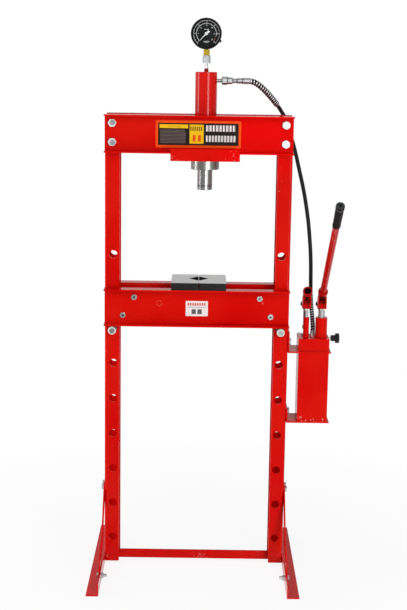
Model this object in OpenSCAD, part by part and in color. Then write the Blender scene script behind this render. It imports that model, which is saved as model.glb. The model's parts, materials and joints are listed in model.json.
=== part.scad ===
// Hydraulic shop press: an H-frame of bent channels on two angle feet, a bed
// that stands on two pins, a ram with its gauge under the top beams, and a
// two-stage hand pump on the right post, joined to the ram by a hose.
// X runs to the right, +Y to the rear and Z up. The origin is on the floor,
// midway between the posts. All sizes are in millimetres.

/* [Frame] */
// Overall width across the posts' outer faces
frame_w = 600; // [540:10:700]
// Height of the top beams' upper face above the floor
frame_h = 1510; // [1450:10:1650]
// Post channel, size across its web
post_d = 80; // [76:1:90]
// Post channel, width of its flanges
post_w = 48; // [44:1:56]
// Wall of the post channels
post_t = 5; // [4:0.5:7]
// Gap between the floor and the lower ends of the posts
post_lift = 14; // [12:1:24]
// Distance of the posts' upper ends below the top beams' upper face
post_drop = 5; // [2:1:12]
// Diameter of the holes for the bed pins
pin_hole_d = 26; // [25.6:0.2:30]
// Distance of the pin holes from the posts' outer faces
pin_inset = 28; // [24:1:30]
// Height of the lowest pin hole
pin_hole_first = 100; // [80:5:110]
// Step from one pin hole to the next
pin_hole_pitch = 120; // [110:5:125]
// Number of pin holes in each post flange
pin_hole_count = 9; // [8:1:9]
// Length of the leg of the cross member's angle
cross_leg = 30; // [25:1:50]
// Wall of the cross member
cross_t = 4; // [3:0.5:6]
// Gap between the floor and the cross member
cross_lift = 10; // [4:1:20]

/* [Feet] */
// Length of the legs of the feet's angle
foot_leg = 40; // [36:1:60]
// Wall of the feet
foot_t = 4; // [3:0.5:6]
// Reach of the feet in front of the posts' centre
foot_front = 300; // [240:10:400]
// Reach of the feet behind the posts' centre
foot_rear = 310; // [240:10:400]
// Width of the diagonal braces
brace_w = 30; // [24:1:34]
// Thickness of the diagonal braces
brace_t = 4; // [3:0.5:6]
// Height of the braces' upper bolts
brace_top_z = 268; // [260:1:290]
// Distance of the braces' upper bolts from the posts' centre
brace_top_y = 18; // [17:1:22]
// Distance of the braces' lower bolts from the posts' centre
brace_foot_y = 185; // [150:5:220]
// Height of the braces' lower bolts
brace_foot_z = 22; // [20:1:24]

/* [Beams] */
// Height of the beam channels
beam_h = 120; // [110:1:140]
// Depth of the beam channels, over their flanges
beam_d = 48; // [44:1:60]
// Wall of the beam channels
beam_t = 5; // [4:0.5:7]
// Outer radius of the bends in posts and beams
bend_r = 7.5; // [7.2:0.1:10]
// Distance of the top beams' bolts from the ends of the beams
beam_bolt_inset = 24; // [22:1:27]
// Height of the lower beam bolts above the beams' lower edge
beam_bolt_low = 32; // [28:1:36]
// Height of the upper beam bolts above the lower ones
beam_bolt_pitch = 60; // [50:1:66]

/* [Bed] */
// Pin hole that the bed pins stand in, counted from the lowest as 0
bed_level = 6; // [4:1:6]
// Diameter of the bed pins
pin_d = 25; // [22:0.5:25]
// Reach of the bed pins in front of and behind the posts
pin_reach = 60; // [55:1:70]
// Clearance between the bed beams and the posts
bed_gap = 0.5; // [0.3:0.1:1.5]
// Distance of the upper tie bolts from the ends of the bed
tie_upper_inset = 96; // [85:1:120]
// Height of the upper tie bolts above the bed's lower edge
tie_upper_z = 89; // [80:1:92]
// Distance of the lower tie bolts from the ends of the bed
tie_lower_inset = 59.5; // [59.5:0.5:62]
// Height of the lower tie bolts above the bed's lower edge
tie_lower_z = 29; // [26:1:40]
// Outer diameter of the spacers between the bed beams
spacer_d = 22; // [20:0.5:22]
// Width of one press plate
plate_w = 88.5; // [80:0.5:100]
// Depth of the press plates, front to rear
plate_d = 168; // [150:1:176]
// Thickness of the press plates
plate_h = 24; // [18:1:30]
// Gap between the two press plates
plate_gap = 1; // [0.5:0.5:4]
// Distance of the gap to the right of the middle
plate_x = 5; // [0:1:20]
// Depth of the V notch in each press plate
notch_depth = 32; // [20:1:40]
// Length of the V notch along the plates' edge
notch_len = 80; // [50:1:100]
// Distance of the notches behind the plates' middle
notch_y = 5; // [0:1:10]

/* [Ram] */
// Distance of the ram's axis to the right of the middle
cyl_x = 20; // [0:1:30]
// Outer diameter of the cylinder
cyl_d = 70; // [66:1:74]
// Bore of the cylinder
cyl_bore = 57; // [54:0.5:58]
// Length of the cylinder
cyl_len = 307; // [300:1:340]
// Thickness of the cylinder's closed upper end
cyl_head = 20; // [16:1:24]
// Diameter of the ram
ram_d = 48; // [40:1:50]
// Reach of the drawn-in ram below the ring nut
ram_out = 66; // [55:1:80]
// Travel of the ram
ram_travel = 150; // [100:5:152]
// Height of the nose on the ram's lower end
nose_h = 14; // [10:1:20]
// Outer diameter of the ring nut
ring_d = 90; // [86:1:100]
// Height of the ring nut
ring_h = 31.5; // [26:0.5:36]
// Length of the saddle along the beams
saddle_w = 219; // [180:1:240]
// Height of the saddle's walls
saddle_wall_h = 38; // [34:1:44]
// Thickness of the saddle's walls
saddle_t = 5; // [4:0.5:8]
// Thickness of the saddle's bottom
saddle_floor = 8; // [6:0.5:12]
// Thickness of the pad between the saddle's bottom and the beams
saddle_pad = 14.5; // [12:0.5:18]

/* [Gauge] */
// Diameter of the gauge over its bezel
gauge_d = 98; // [80:1:110]
// Depth of the gauge's case
gauge_depth = 32; // [28:1:40]
// Height of the painted adaptor on the cylinder
adaptor_h = 10.5; // [8:0.5:16]
// Free length of the pipe under the gauge's nut
pipe_h = 16.5; // [10:0.5:30]
// Diameter of the pipe
pipe_d = 10; // [9:0.2:12]
// Height of the gauge's union nut
gauge_nut_h = 24.5; // [18:0.5:30]
// Turn of the gauge's face towards the left
gauge_turn = 8; // [0:1:30]
// Height of the hexagon on the gauge's stem
stem_h = 18.5; // [14:0.5:24]

/* [Pump] */
// Height of the underside of the lower pump bracket
pump_z = 507; // [480:1:520]
// Gap between the post and the oil tank
tank_gap = 35; // [30:1:50]
// Width of the oil tank
tank_w = 100; // [94:1:110]
// Depth of the oil tank, front to rear
tank_d = 90; // [80:1:94]
// Height of the oil tank
tank_h = 231; // [200:1:240]
// Wall of the oil tank
tank_t = 3; // [2:0.5:5]
// Thickness of the pump brackets
bracket_t = 5; // [4:0.5:8]
// Depth of the pump brackets' plates
bracket_d = 100; // [96:1:110]
// Reach of the pump brackets beyond the oil tank
bracket_over = 6; // [3:0.5:12]
// Height of the upper bracket's flange
flange_upper_h = 68; // [60:1:76]
// Height of the lower bracket's flange
flange_lower_h = 45; // [42:1:60]
// Height of the pump head
head_h = 41; // [36:1:50]
// Depth of the pump head, front to rear
head_d = 80; // [76:1:88]
// Height of the pump barrels
barrel_h = 65; // [60:1:80]
// Distance of the small barrel from the oil tank's inner side
small_dx = 26; // [24:1:27]
// Outer diameter of the small barrel
small_barrel_d = 19.5; // [17:0.5:20]
// Diameter of the small plunger
small_rod_d = 12; // [10:0.5:13]
// Distance of the large barrel from the oil tank's inner side
large_dx = 76; // [75:1:78]
// Outer diameter of the large barrel
large_barrel_d = 39; // [32:1:40]
// Diameter of the large plunger
large_rod_d = 21; // [18:0.5:24]
// Diameter of the release valve's stem
valve_d = 8; // [6:0.5:10]
// Diameter of the release valve's knob
knob_d = 33; // [28:1:40]
// Length of the release valve's knob
knob_len = 28; // [24:1:36]

/* [Levers] */
// Height of the plunger pins above the barrels
lever_lift = 38; // [38:1:50]
// Distance between a lever's plunger pin and its fulcrum pin
fulcrum_r = 34; // [32:0.5:38]
// Height of the fulcrum links between their pins
link_len = 78; // [54:1:84]
// Diameter of the lever pins
lever_pin_d = 8; // [6:0.5:8]
// Slope of the lever sockets above the level
lever_angle = 38; // [30:1:40]
// Length of the lever sockets
socket_len = 64; // [56:1:80]
// Outer diameter of the lever sockets
socket_d = 28; // [26.5:0.5:30]
// Outer diameter of the collar round each socket's mouth
collar_d = 32; // [30:0.5:34]
// Length of the collar round each socket's mouth
collar_len = 11; // [6:1:16]
// Diameter of the pump handle
handle_d = 21.3; // [19:0.1:22]
// Wall of the pump handle
handle_t = 2.6; // [2:0.1:4]
// Length of the pump handle
handle_len = 585; // [500:5:700]
// Outer diameter of the handle's grip
grip_d = 27; // [25:0.5:34]
// Length of the handle's grip
grip_len = 122; // [100:1:180]

/* [Hose] */
// Outer diameter of the hose
hose_d = 13; // [10:0.5:13]
// Outer diameter of the spring guard at the ram
guard_upper_d = 20.5; // [19:0.5:21]
// Outer diameter of the spring guard at the pump
guard_lower_d = 14.6; // [14.4:0.2:15.6]
// Distance of the hose port below the cylinder's top
port_drop = 27; // [24:1:40]

/* [Fits] */
// Radial clearance of a piece that turns or slides in a bore
run_gap = 0.05; // [0.02:0.01:0.09]
// Radial clearance between a fixed piece and its bore
fixed_gap = 0.1; // [0.05:0.05:0.3]
// Clearance beside plates that move past each other
side_gap = 0.5; // [0.3:0.1:0.8]

/* [Hidden] */

$fn = 64;
PAINT = [0.80, 0.04, 0.02];
DARK_PAINT = [0.42, 0.03, 0.03];
ZINC = [0.72, 0.72, 0.70];
CHROME = [0.82, 0.83, 0.84];
STEEL = [0.55, 0.56, 0.57];
DARK_STEEL = [0.16, 0.17, 0.18];
BLACK = [0.03, 0.03, 0.03];
BRASS = [0.72, 0.55, 0.25];
GLASS = [0.8, 0.85, 0.88, 0.3];

// Extra length of a cut past the face that it opens
cut_over = 1;
half_w = frame_w / 2;
post_face_y = post_d / 2;
post_top = frame_h - post_drop;
pin_x = half_w - pin_inset;
pin_chamfer = 2;

// Metric fasteners as [thread, width across flats, head height, nut height]
M16 = [16, 24, 10, 13];
M12 = [12, 19, 7.5, 10];
M10 = [10, 17, 6.4, 8];
M8 = [8, 13, 5.3, 6.5];
// Extra diameter of a bolt hole over its bolt
bolt_slack = 1;
// Length of thread that stands out of a nut
thread_out = 4;
// The same on the bolts that hold the braces to the feet
foot_thread_out = 10;

beam_bolt_x = half_w - beam_bolt_inset;
beam_bolt_z = [for (k = [0, 1]) frame_h - beam_h + beam_bolt_low + k * beam_bolt_pitch];
// Turn of the heads of the left and the right beam bolts
beam_bolt_turn = [0, 30];

bracket_bolt_up = 28;
pump_top_z = pump_z + bracket_t + tank_h;
head_z = pump_top_z + bracket_t;
head_top = head_z + head_h;
tank_x = half_w + tank_gap;
bracket_len = tank_gap + tank_w + bracket_over;
bracket_bolt_z = [pump_z + bracket_bolt_up, pump_top_z + bracket_bolt_up];

// Bed
bed_pin_z = pin_hole_first + bed_level * pin_hole_pitch;
bed_seat = 0.3;
bed_z = bed_pin_z + pin_d / 2 + bed_seat;
bed_top = bed_z + beam_h;
bed_web_y = post_face_y + bed_gap;
tie_places = [for (side = [-1, 1])
  each [[side * (half_w - tie_upper_inset), bed_z + tie_upper_z],
        [side * (half_w - tie_lower_inset), bed_z + tie_lower_z]]];
plate_corner_r = 5;

// Ram and cylinder
saddle_top = frame_h - beam_h;
saddle_z = saddle_top - saddle_pad - saddle_floor;
saddle_in_y = post_face_y + beam_d + 1;
ring_z = saddle_z - ring_h;
cyl_z = ring_z + 2;
cyl_top = cyl_z + cyl_len;
ram_z = ring_z - ram_out;
gland_h = 34;
gland_top = cyl_z + gland_h;
piston_h = 25;
piston_z = gland_top + ram_travel + 3;
piston_top = piston_z + piston_h;
chamber_top = cyl_top - cyl_head;
port_z = cyl_top - port_drop;
seal_h = 8;
seal_depth = 4;
spring_d = 30;
spring_wire = 3;
spring_turns = 16;
nose_neck = 1.2;
spigot_d = 20;
spigot_h = 15;
hook_hole_d = 8;
hook_hole_depth = 6;
hook_hole_turn = 260;

// Gauge
gauge_base_z = cyl_top + adaptor_h + pipe_h;
stem_z = gauge_base_z + gauge_nut_h;
gauge_z = stem_z + stem_h + gauge_d / 2;
case_front = 18;
case_wall = 2;
// How far the stem's neck reaches into the case
stem_reach = 8;
bezel_w = 5.5;
glass_t = 2;
dial_t = 1;
dial_front = 9.5;
adaptor_af = 12;
gauge_nut_af = 22.5;
stem_af = 17;
stem_neck_d = 10;
spindle_d = 3;
needle_t = 0.8;
needle_lift = 2;
needle_len = 36;
// Angle of the resting needle, clockwise from straight up
needle_rest = 225;

// Pump
small_x = tank_x + small_dx;
large_x = tank_x + large_dx;
hose_port = [386, 30];
hose_hole_d = 8;
hose_hole_depth = 12;
fitting_af = 17;
fitting_base_h = 8;
fitting_d = 16;
barrel_top = head_top + barrel_h;
pivot_z = barrel_top + lever_lift;
plunger_low = 17;
valve_y = 15;
valve_drop = 8;
valve_gap = 9;
valve_in = 20;
valve_z = head_top - valve_drop;
head_over = 1;
head_x = tank_x - head_over;
head_w = tank_w + 2 * head_over;
filler_place = [9, 26];
filler_d = 12;
filler_in = 8;
filler_h = 5;

// Levers: each plunger's eye and two fulcrum links run between two lever plates
eye_t = 12;
eye_r = 9;
plate_t = 4;
lever_in = 10.5;
lever_out = lever_in + plate_t;
link_t = 3.5;
link_r = 8;
link_out = 6.8;
link_in = link_out - link_t;
lug_half = link_in - side_gap;
boss_in = eye_t / 2 + side_gap;
pin_head_d = 12;
pin_head_t = 2.5;
socket_back = 14;
socket_floor = 7;
socket_bore = handle_d + 0.8;
socket_at = [10, 24];
// Reach of the lever plates along the socket, and how far their corners lie inside
plate_reach = 20;
plate_inset = 1;
socket_dir = [-cos(lever_angle), sin(lever_angle)];
socket_up = [sin(lever_angle), cos(lever_angle)];
// Slot in which the plunger pin shifts as the lever swings
slot_out = 4;
slot_play = 1.7;
slot_rim = 4;
// Height of the plunger's neck between its rod and its eye
plunger_neck = 6;

// Route of the hose's middle line, from the ram's fitting to the pump
HOSE_ROUTE = [
  [161, 0, 1618], [178, 2, 1612], [198, 8, 1598], [216, 19, 1581], [233, 35, 1563],
  [248, 55, 1546], [260, 76, 1531], [271, 96, 1515], [281, 104, 1501], [292, 108, 1474],
  [301, 107, 1443], [310, 104, 1414], [319, 100, 1382], [331, 94, 1332], [341, 89, 1291],
  [350, 83, 1249], [358, 77, 1204], [365, 71, 1156], [370, 65, 1107], [374, 60, 1058],
  [376, 57, 1010], [377, 56, 965], [378, 56, 930], [379, 55, 910], [380, 53, 890],
  [382, 49, 868], [384, 43, 850], [385, 37, 834], [386, 32, 819], [386, 30, 804]
];
nipple_d = 12;
nipple_in = 5;
nipple_out = 15;
union_af = 22.5;
union_len = 18;
ferrule_x = cyl_x + cyl_d / 2 + nipple_out + union_len;
// Length and diameter of the ferrule's collar, neck, ribbed crimp and end
ferrule_steps = [[16, 21], [14, 14], [18, 16], [25, 19.5]];
hose_sides = 12;
hose_gap = 0.4;
// Steps of the hose's sweep that each guard covers
guard_upper_steps = 11;
guard_lower_steps = 13;

// ---- Shared shapes ----

// Rectangle from the origin with its two left corners rounded
module left_rounded(w, h, r) {
  translate([r, 0]) square([w - r, h]);
  translate([0, r]) square([2 * r, h - 2 * r]);
  for (y = [r, h - r]) translate([r, y]) circle(r = r);
}

// Rectangle about the origin with four rounded corners
module rounded_rect(w, h, r) {
  square([w - 2 * r, h], center = true);
  square([w, h - 2 * r], center = true);
  for (x = [-1, 1], y = [-1, 1])
    translate([x * (w / 2 - r), y * (h / 2 - r)]) circle(r = r);
}

// Bent channel: web along y, flanges towards +x
module channel_profile(web, flange, t) {
  difference() {
    left_rounded(flange, web, bend_r);
    translate([t, t]) left_rounded(flange, web - 2 * t, bend_r - t);
  }
}

module angle_profile(leg, t) {
  square([leg, t]);
  square([t, leg]);
}

// Puts its children with their z axis pointing out along Y or X
module facing_y(side) { rotate([-90 * side, 0, 0]) children(); }
module facing_x(side) { rotate([0, 90 * side, 0]) children(); }

// Extrudes a shape drawn in Y and Z along X, about x = 0
module across_x(t) {
  rotate([90, 0, 90]) translate([0, 0, -t / 2]) linear_extrude(t) children();
}

module hole_y(x, z, d, y0, y1) {
  translate([x, y0, z]) facing_y(1) cylinder(d = d, h = y1 - y0);
}

module hole_x(x0, x1, y, z, d) {
  translate([x0, y, z]) facing_x(1) cylinder(d = d, h = x1 - x0);
}

module hex_prism(af, h) { cylinder(d = af / cos(30), h = h, $fn = 6); }

// Hexagon whose upper corners are turned off
module hex_head(af, h) {
  intersection() {
    hex_prism(af, h);
    cylinder(r1 = af / 2 + 2 * h, r2 = af / 2, h = h);
  }
}

// Hexagon bolt: head above z = 0, shank below
module hex_bolt(size, len, turn = 0) {
  rotate([0, 0, turn]) hex_head(size[1], size[2]);
  translate([0, 0, -len]) cylinder(d = size[0], h = len + size[2] / 2);
}

// Nut standing on z = 0
module hex_nut(size) {
  difference() {
    hex_head(size[1], size[3]);
    translate([0, 0, -cut_over])
      cylinder(d = size[0] + 2 * run_gap, h = size[3] + 2 * cut_over);
  }
}

// ---- Frame ----

module post(side) {
  color(PAINT) difference() {
    mirror([side > 0 ? 0 : 1, 0, 0]) translate([half_w, -post_face_y, post_lift])
      linear_extrude(post_top - post_lift) mirror([1, 0])
        channel_profile(post_d, post_w, post_t);
    for (i = [0 : pin_hole_count - 1])
      hole_y(side * pin_x, pin_hole_first + i * pin_hole_pitch, pin_hole_d,
             -post_face_y - cut_over, post_face_y + cut_over);
    for (z = beam_bolt_z)
      hole_y(side * beam_bolt_x, z, M16[0] + bolt_slack,
             -post_face_y - cut_over, post_face_y + cut_over);
    for (y = [-1, 1])
      web_hole(side, y * brace_top_y, brace_top_z, M10);
    if (side > 0)
      for (z = bracket_bolt_z) web_hole(side, 0, z, M12);
  }
}

// Bolt hole through a post's web
module web_hole(side, y, z, size) {
  hole_x(side * half_w - post_t - cut_over, side * half_w + post_t + cut_over, y, z,
         size[0] + bolt_slack);
}

module post_left() { post(-1); }
module post_right() { post(1); }

// Channel along X with its web's back at y = 0 and its flanges to the rear
module beam_channel() {
  translate([-half_w, 0, 0]) rotate([90, 0, 90]) linear_extrude(frame_w)
    channel_profile(beam_h, beam_d, beam_t);
}

module top_beam(side) {
  color(PAINT) difference() {
    translate([0, side * post_face_y, frame_h - beam_h])
      mirror([0, side > 0 ? 0 : 1, 0]) beam_channel();
    for (x = [-1, 1], z = beam_bolt_z)
      hole_y(x * beam_bolt_x, z, M16[0] + bolt_slack,
             side * post_face_y - beam_t - cut_over, side * post_face_y + beam_t + cut_over);
  }
}

module top_beam_front() { top_beam(-1); }
module top_beam_rear() { top_beam(1); }

module cross_member() {
  color(PAINT) translate([-half_w + post_t, -cross_t / 2, cross_lift])
    rotate([90, 0, 90]) linear_extrude(frame_w - 2 * post_t)
      angle_profile(cross_leg, cross_t);
}

module foot(side) {
  color(PAINT) difference() {
    mirror([side > 0 ? 0 : 1, 0, 0]) translate([half_w, foot_rear, 0])
      rotate([90, 0, 0]) linear_extrude(foot_front + foot_rear)
        angle_profile(foot_leg, foot_t);
    for (y = [-1, 1])
      hole_x(side * half_w - foot_t - cut_over, side * half_w + foot_t + cut_over,
             y * brace_foot_y, brace_foot_z, M10[0] + bolt_slack);
  }
}

module foot_left() { foot(-1); }
module foot_right() { foot(1); }

// Flat bar from the foot's bolt to the post's bolt, set back by the foot's wall
module brace() {
  run = brace_foot_y - brace_top_y;
  rise = brace_top_z - brace_foot_z;
  bar_len = norm([run, rise]);
  end_r = brace_w / 2;
  bend_from = 0.2 * bar_len;
  bend_to = 0.37 * bar_len;
  translate([half_w, -brace_foot_y, brace_foot_z]) rotate([-atan2(run, rise), 0, 0])
    difference() {
      intersection() {
        rotate([90, 0, 0]) linear_extrude(brace_w, center = true) polygon([
          [foot_t, -end_r], [foot_t, bend_from], [0, bend_to], [0, bar_len + end_r],
          [brace_t, bar_len + end_r], [brace_t, bend_to],
          [foot_t + brace_t, bend_from], [foot_t + brace_t, -end_r]
        ]);
        union() {
          translate([-cut_over, -end_r, 0])
            cube([foot_t + brace_t + 2 * cut_over, brace_w, bar_len]);
          for (z = [0, bar_len])
            hole_x(-cut_over, foot_t + brace_t + cut_over, 0, z, brace_w);
        }
      }
      for (z = [0, bar_len])
        hole_x(-cut_over, foot_t + brace_t + cut_over, 0, z, M10[0] + bolt_slack);
    }
}

module foot_braces() {
  color(PAINT) for (x = [0, 1], y = [0, 1])
    mirror([x, 0, 0]) mirror([0, y, 0]) brace();
}

// Top beam bolts, heads outside, nuts inside the posts
module beam_bolts() {
  color(ZINC) for (side = [-1, 1], x = [0, 1], z = beam_bolt_z)
    translate([(2 * x - 1) * beam_bolt_x, side * (post_face_y + beam_t), z])
      facing_y(side)
        hex_bolt(M16, beam_t + post_t + M16[3] + thread_out, beam_bolt_turn[x]);
}

// Bolts through the posts' webs and the feet, heads outside
module side_bolts() {
  color(ZINC) {
    for (x = [-1, 1], y = [-1, 1]) {
      translate([x * (half_w + brace_t), y * brace_top_y, brace_top_z])
        facing_x(x) hex_bolt(M10, brace_t + post_t + M10[3] + thread_out);
      translate([x * (half_w + foot_t + brace_t), y * brace_foot_y, brace_foot_z])
        facing_x(x) hex_bolt(M10, brace_t + foot_t + M10[3] + foot_thread_out);
    }
    for (z = bracket_bolt_z)
      translate([half_w + bracket_t, 0, z])
        facing_x(1) hex_bolt(M12, bracket_t + post_t + M12[3] + thread_out);
  }
}

module frame_nuts() {
  color(ZINC) {
    for (side = [-1, 1], x = [0, 1], z = beam_bolt_z)
      translate([(2 * x - 1) * beam_bolt_x, side * (post_face_y - post_t), z])
        facing_y(-side) rotate([0, 0, beam_bolt_turn[x]]) hex_nut(M16);
    for (x = [-1, 1], y = [-1, 1]) {
      translate([x * (half_w - post_t), y * brace_top_y, brace_top_z])
        facing_x(-x) hex_nut(M10);
      translate([x * half_w, y * brace_foot_y, brace_foot_z])
        facing_x(-x) hex_nut(M10);
    }
    for (z = bracket_bolt_z)
      translate([half_w - post_t, 0, z]) facing_x(-1) hex_nut(M12);
  }
}

// ---- Ram and cylinder ----

module at_ram() { translate([cyl_x, 0, 0]) children(); }

// Trough that grips the beams' lower flanges, with a thick pad for the ram
module ram_saddle() {
  out_y = saddle_in_y + saddle_t;
  color(PAINT) at_ram() difference() {
    union() {
      translate([-saddle_w / 2, -out_y, saddle_z]) cube([saddle_w, 2 * out_y, saddle_floor]);
      for (side = [-1, 1])
        translate([-saddle_w / 2, side > 0 ? saddle_in_y : -out_y, saddle_z])
          cube([saddle_w, saddle_t, saddle_wall_h]);
      translate([-saddle_w / 2, -saddle_in_y, saddle_z])
        cube([saddle_w, 2 * saddle_in_y, saddle_floor + saddle_pad]);
    }
    translate([0, 0, saddle_z - cut_over])
      cylinder(d = cyl_d + 2 * fixed_gap, h = saddle_floor + saddle_pad + 2 * cut_over);
  }
}

module cylinder_body_profile() {
  r = cyl_d / 2;
  chamfer = 1.5;
  polygon([
    [cyl_bore / 2, cyl_z], [r, cyl_z], [r, cyl_top - chamfer], [r - chamfer, cyl_top],
    [0, cyl_top], [0, chamber_top], [cyl_bore / 2, chamber_top]
  ]);
}

module cylinder_shell() {
  color(PAINT) at_ram() difference() {
    rotate_extrude() cylinder_body_profile();
    translate([0, 0, chamber_top - cut_over])
      cylinder(d = pipe_d / 2, h = cyl_head + 2 * cut_over);
    hole_x(cyl_bore / 2 - cut_over * 3, cyl_d / 2 + cut_over, 0, port_z, nipple_d);
  }
}

module cylinder_gland() {
  color(STEEL) at_ram() translate([0, 0, cyl_z]) difference() {
    cylinder(d = cyl_bore - 2 * fixed_gap, h = gland_h);
    translate([0, 0, -cut_over]) cylinder(d = ram_d + 2 * run_gap, h = gland_h + 2 * cut_over);
  }
}

module ring_nut() {
  r = ring_d / 2;
  in_r = cyl_d / 2 + fixed_gap;
  chamfer = 1.2;
  color(ZINC) at_ram() difference() {
    translate([0, 0, ring_z]) rotate_extrude() polygon([
      [in_r, 0], [r - chamfer, 0], [r, chamfer], [r, ring_h - chamfer],
      [r - chamfer, ring_h], [in_r, ring_h]
    ]);
    for (turn = [0 : 90 : 270])
      translate([0, 0, ring_z + ring_h / 2]) rotate([0, 0, hook_hole_turn + turn])
        hole_x(r - hook_hole_depth, r + cut_over, 0, 0, hook_hole_d);
  }
}

module ram() {
  r = ram_d / 2;
  piston_r = cyl_bore / 2 - run_gap;
  seal_r = piston_r - seal_depth;
  seal_z = piston_z + (piston_h - seal_h) / 2;
  color(CHROME) at_ram() difference() {
    rotate_extrude() polygon([
      [0, ram_z + nose_h], [r, ram_z + nose_h], [r, piston_z], [piston_r, piston_z],
      [piston_r, seal_z], [seal_r, seal_z], [seal_r, seal_z + seal_h],
      [piston_r, seal_z + seal_h], [piston_r, piston_top], [0, piston_top]
    ]);
    translate([0, 0, ram_z + nose_h - cut_over])
      cylinder(d = spigot_d + 2 * fixed_gap, h = spigot_h + 2 * cut_over);
  }
}

// Hardened nose: a disc, a thin neck that shows as a groove, and a spigot
module ram_nose() {
  r = ram_d / 2;
  chamfer = 1.5;
  neck_r = r - 2;
  color(CHROME) at_ram() translate([0, 0, ram_z]) rotate_extrude() polygon([
    [0, 0], [r - chamfer, 0], [r, chamfer], [r, nose_h - nose_neck],
    [neck_r, nose_h - nose_neck], [neck_r, nose_h], [spigot_d / 2, nose_h],
    [spigot_d / 2, nose_h + spigot_h], [0, nose_h + spigot_h]
  ]);
}

module piston_seal() {
  piston_r = cyl_bore / 2 - run_gap;
  color(BLACK) at_ram() translate([0, 0, piston_z + (piston_h - seal_h) / 2 + fixed_gap])
    difference() {
      cylinder(r = piston_r, h = seal_h - 2 * fixed_gap);
      translate([0, 0, -cut_over])
        cylinder(r = piston_r - seal_depth + fixed_gap, h = seal_h + 2 * cut_over);
    }
}

// Helix of round wire that draws the ram back in
module return_spring() {
  steps = 12;
  wire_sides = 6;
  coil_r = (spring_d - spring_wire) / 2;
  z0 = piston_top + spring_wire / 2;
  z1 = chamber_top - spring_wire / 2;
  turns_steps = spring_turns * steps;
  path = [for (i = [0 : turns_steps])
    [coil_r * cos(360 * i / steps), coil_r * sin(360 * i / steps),
     z0 + (z1 - z0) * i / turns_steps]];
  color(STEEL) at_ram() sweep(path, spring_wire / 2, wire_sides, [0, 0, 1]);
}

// ---- Gauge ----

module gauge_adaptor() {
  color(DARK_PAINT) at_ram() translate([0, 0, cyl_top]) difference() {
    hex_head(adaptor_af, adaptor_h);
    translate([0, 0, -cut_over]) cylinder(d = pipe_d / 2, h = adaptor_h + 2 * cut_over);
  }
}

module gauge_pipe() {
  color(ZINC) at_ram() translate([0, 0, cyl_top + adaptor_h]) difference() {
    cylinder(d = pipe_d, h = pipe_h);
    translate([0, 0, -cut_over]) cylinder(d = pipe_d / 2, h = pipe_h + 2 * cut_over);
  }
}

module gauge_nut() {
  color(ZINC) at_ram() translate([0, 0, gauge_base_z]) difference() {
    hex_head(gauge_nut_af, gauge_nut_h);
    translate([0, 0, -cut_over]) cylinder(d = pipe_d / 2, h = gauge_nut_h + 2 * cut_over);
  }
}

// Hexagon of the gauge's own stem, with a neck that enters the case
module gauge_stem() {
  neck_h = case_wall + stem_reach;
  color(BRASS) at_ram() translate([0, 0, stem_z]) difference() {
    union() {
      hex_head(stem_af, stem_h);
      cylinder(d = stem_neck_d, h = stem_h + neck_h);
    }
    translate([0, 0, -cut_over])
      cylinder(d = pipe_d / 3, h = stem_h + neck_h + 2 * cut_over);
  }
}

// Puts a shape turned about z so that z points to the front, at the dial's middle
module at_gauge() {
  translate([cyl_x, 0, gauge_z]) rotate([0, 0, -gauge_turn]) facing_y(-1) children();
}

bezel_r = gauge_d / 2;
body_r = bezel_r - 3;
case_back = case_front - gauge_depth;
lip_z = case_front - 1.5;
seat_r = body_r + 0.5;
seat_z = dial_front - dial_t;

module gauge_case() {
  in_r = body_r - case_wall;
  color(BLACK) difference() {
    at_gauge() difference() {
      rotate_extrude() polygon([
        [0, case_back], [body_r - 2, case_back], [body_r, case_back + 2],
        [body_r, seat_z - 1], [bezel_r, seat_z], [bezel_r, case_front - 1],
        [bezel_r - 1, case_front], [bezel_r - bezel_w, case_front],
        [bezel_r - bezel_w, lip_z], [seat_r, lip_z], [seat_r, seat_z], [in_r, seat_z],
        [in_r, case_back + case_wall], [spindle_d * 2, case_back + case_wall],
        [spindle_d * 2, seat_z - 2], [0, seat_z - 2]
      ]);
      translate([0, 0, case_back + case_wall])
        cylinder(d = spindle_d + 2 * run_gap, h = gauge_depth);
    }
    translate([cyl_x, 0, gauge_z - bezel_r - cut_over])
      cylinder(d = stem_neck_d + 2 * fixed_gap, h = 3 * cut_over + case_wall + 3);
  }
}

module gauge_dial() {
  color(BLACK) at_gauge() translate([0, 0, seat_z]) difference() {
    cylinder(r = seat_r - fixed_gap, h = dial_t);
    translate([0, 0, -cut_over]) cylinder(d = spindle_d + 2 * run_gap, h = dial_t + 2 * cut_over);
  }
}

module gauge_glass() {
  color(GLASS) at_gauge() translate([0, 0, lip_z - glass_t])
    cylinder(r = seat_r - fixed_gap, h = glass_t);
}

// Spindle, hub and blade with a broad tail
module gauge_needle() {
  hub_r = 4;
  tail = 12;
  blade_z = dial_front + needle_lift;
  color("white") at_gauge() rotate([0, 0, -needle_rest]) {
    translate([0, 0, case_back + case_wall + 2])
      cylinder(d = spindle_d, h = blade_z - case_back - case_wall - 2);
    translate([0, 0, dial_front + side_gap]) cylinder(r = hub_r, h = needle_lift);
    translate([0, 0, blade_z]) linear_extrude(needle_t)
      polygon([[0, needle_len], [-hub_r / 2, 0], [-hub_r, -tail], [hub_r, -tail], [hub_r / 2, 0]]);
  }
}

// ---- Hose ----

module at_port() { translate([cyl_x + cyl_d / 2, 0, port_z]) facing_x(1) children(); }

module hose_nipple() {
  color(ZINC) at_port() translate([0, 0, -nipple_in]) difference() {
    cylinder(d = nipple_d - 2 * fixed_gap, h = nipple_in + nipple_out);
    translate([0, 0, -cut_over]) cylinder(d = nipple_d / 2, h = nipple_in + nipple_out + 2 * cut_over);
  }
}

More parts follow.
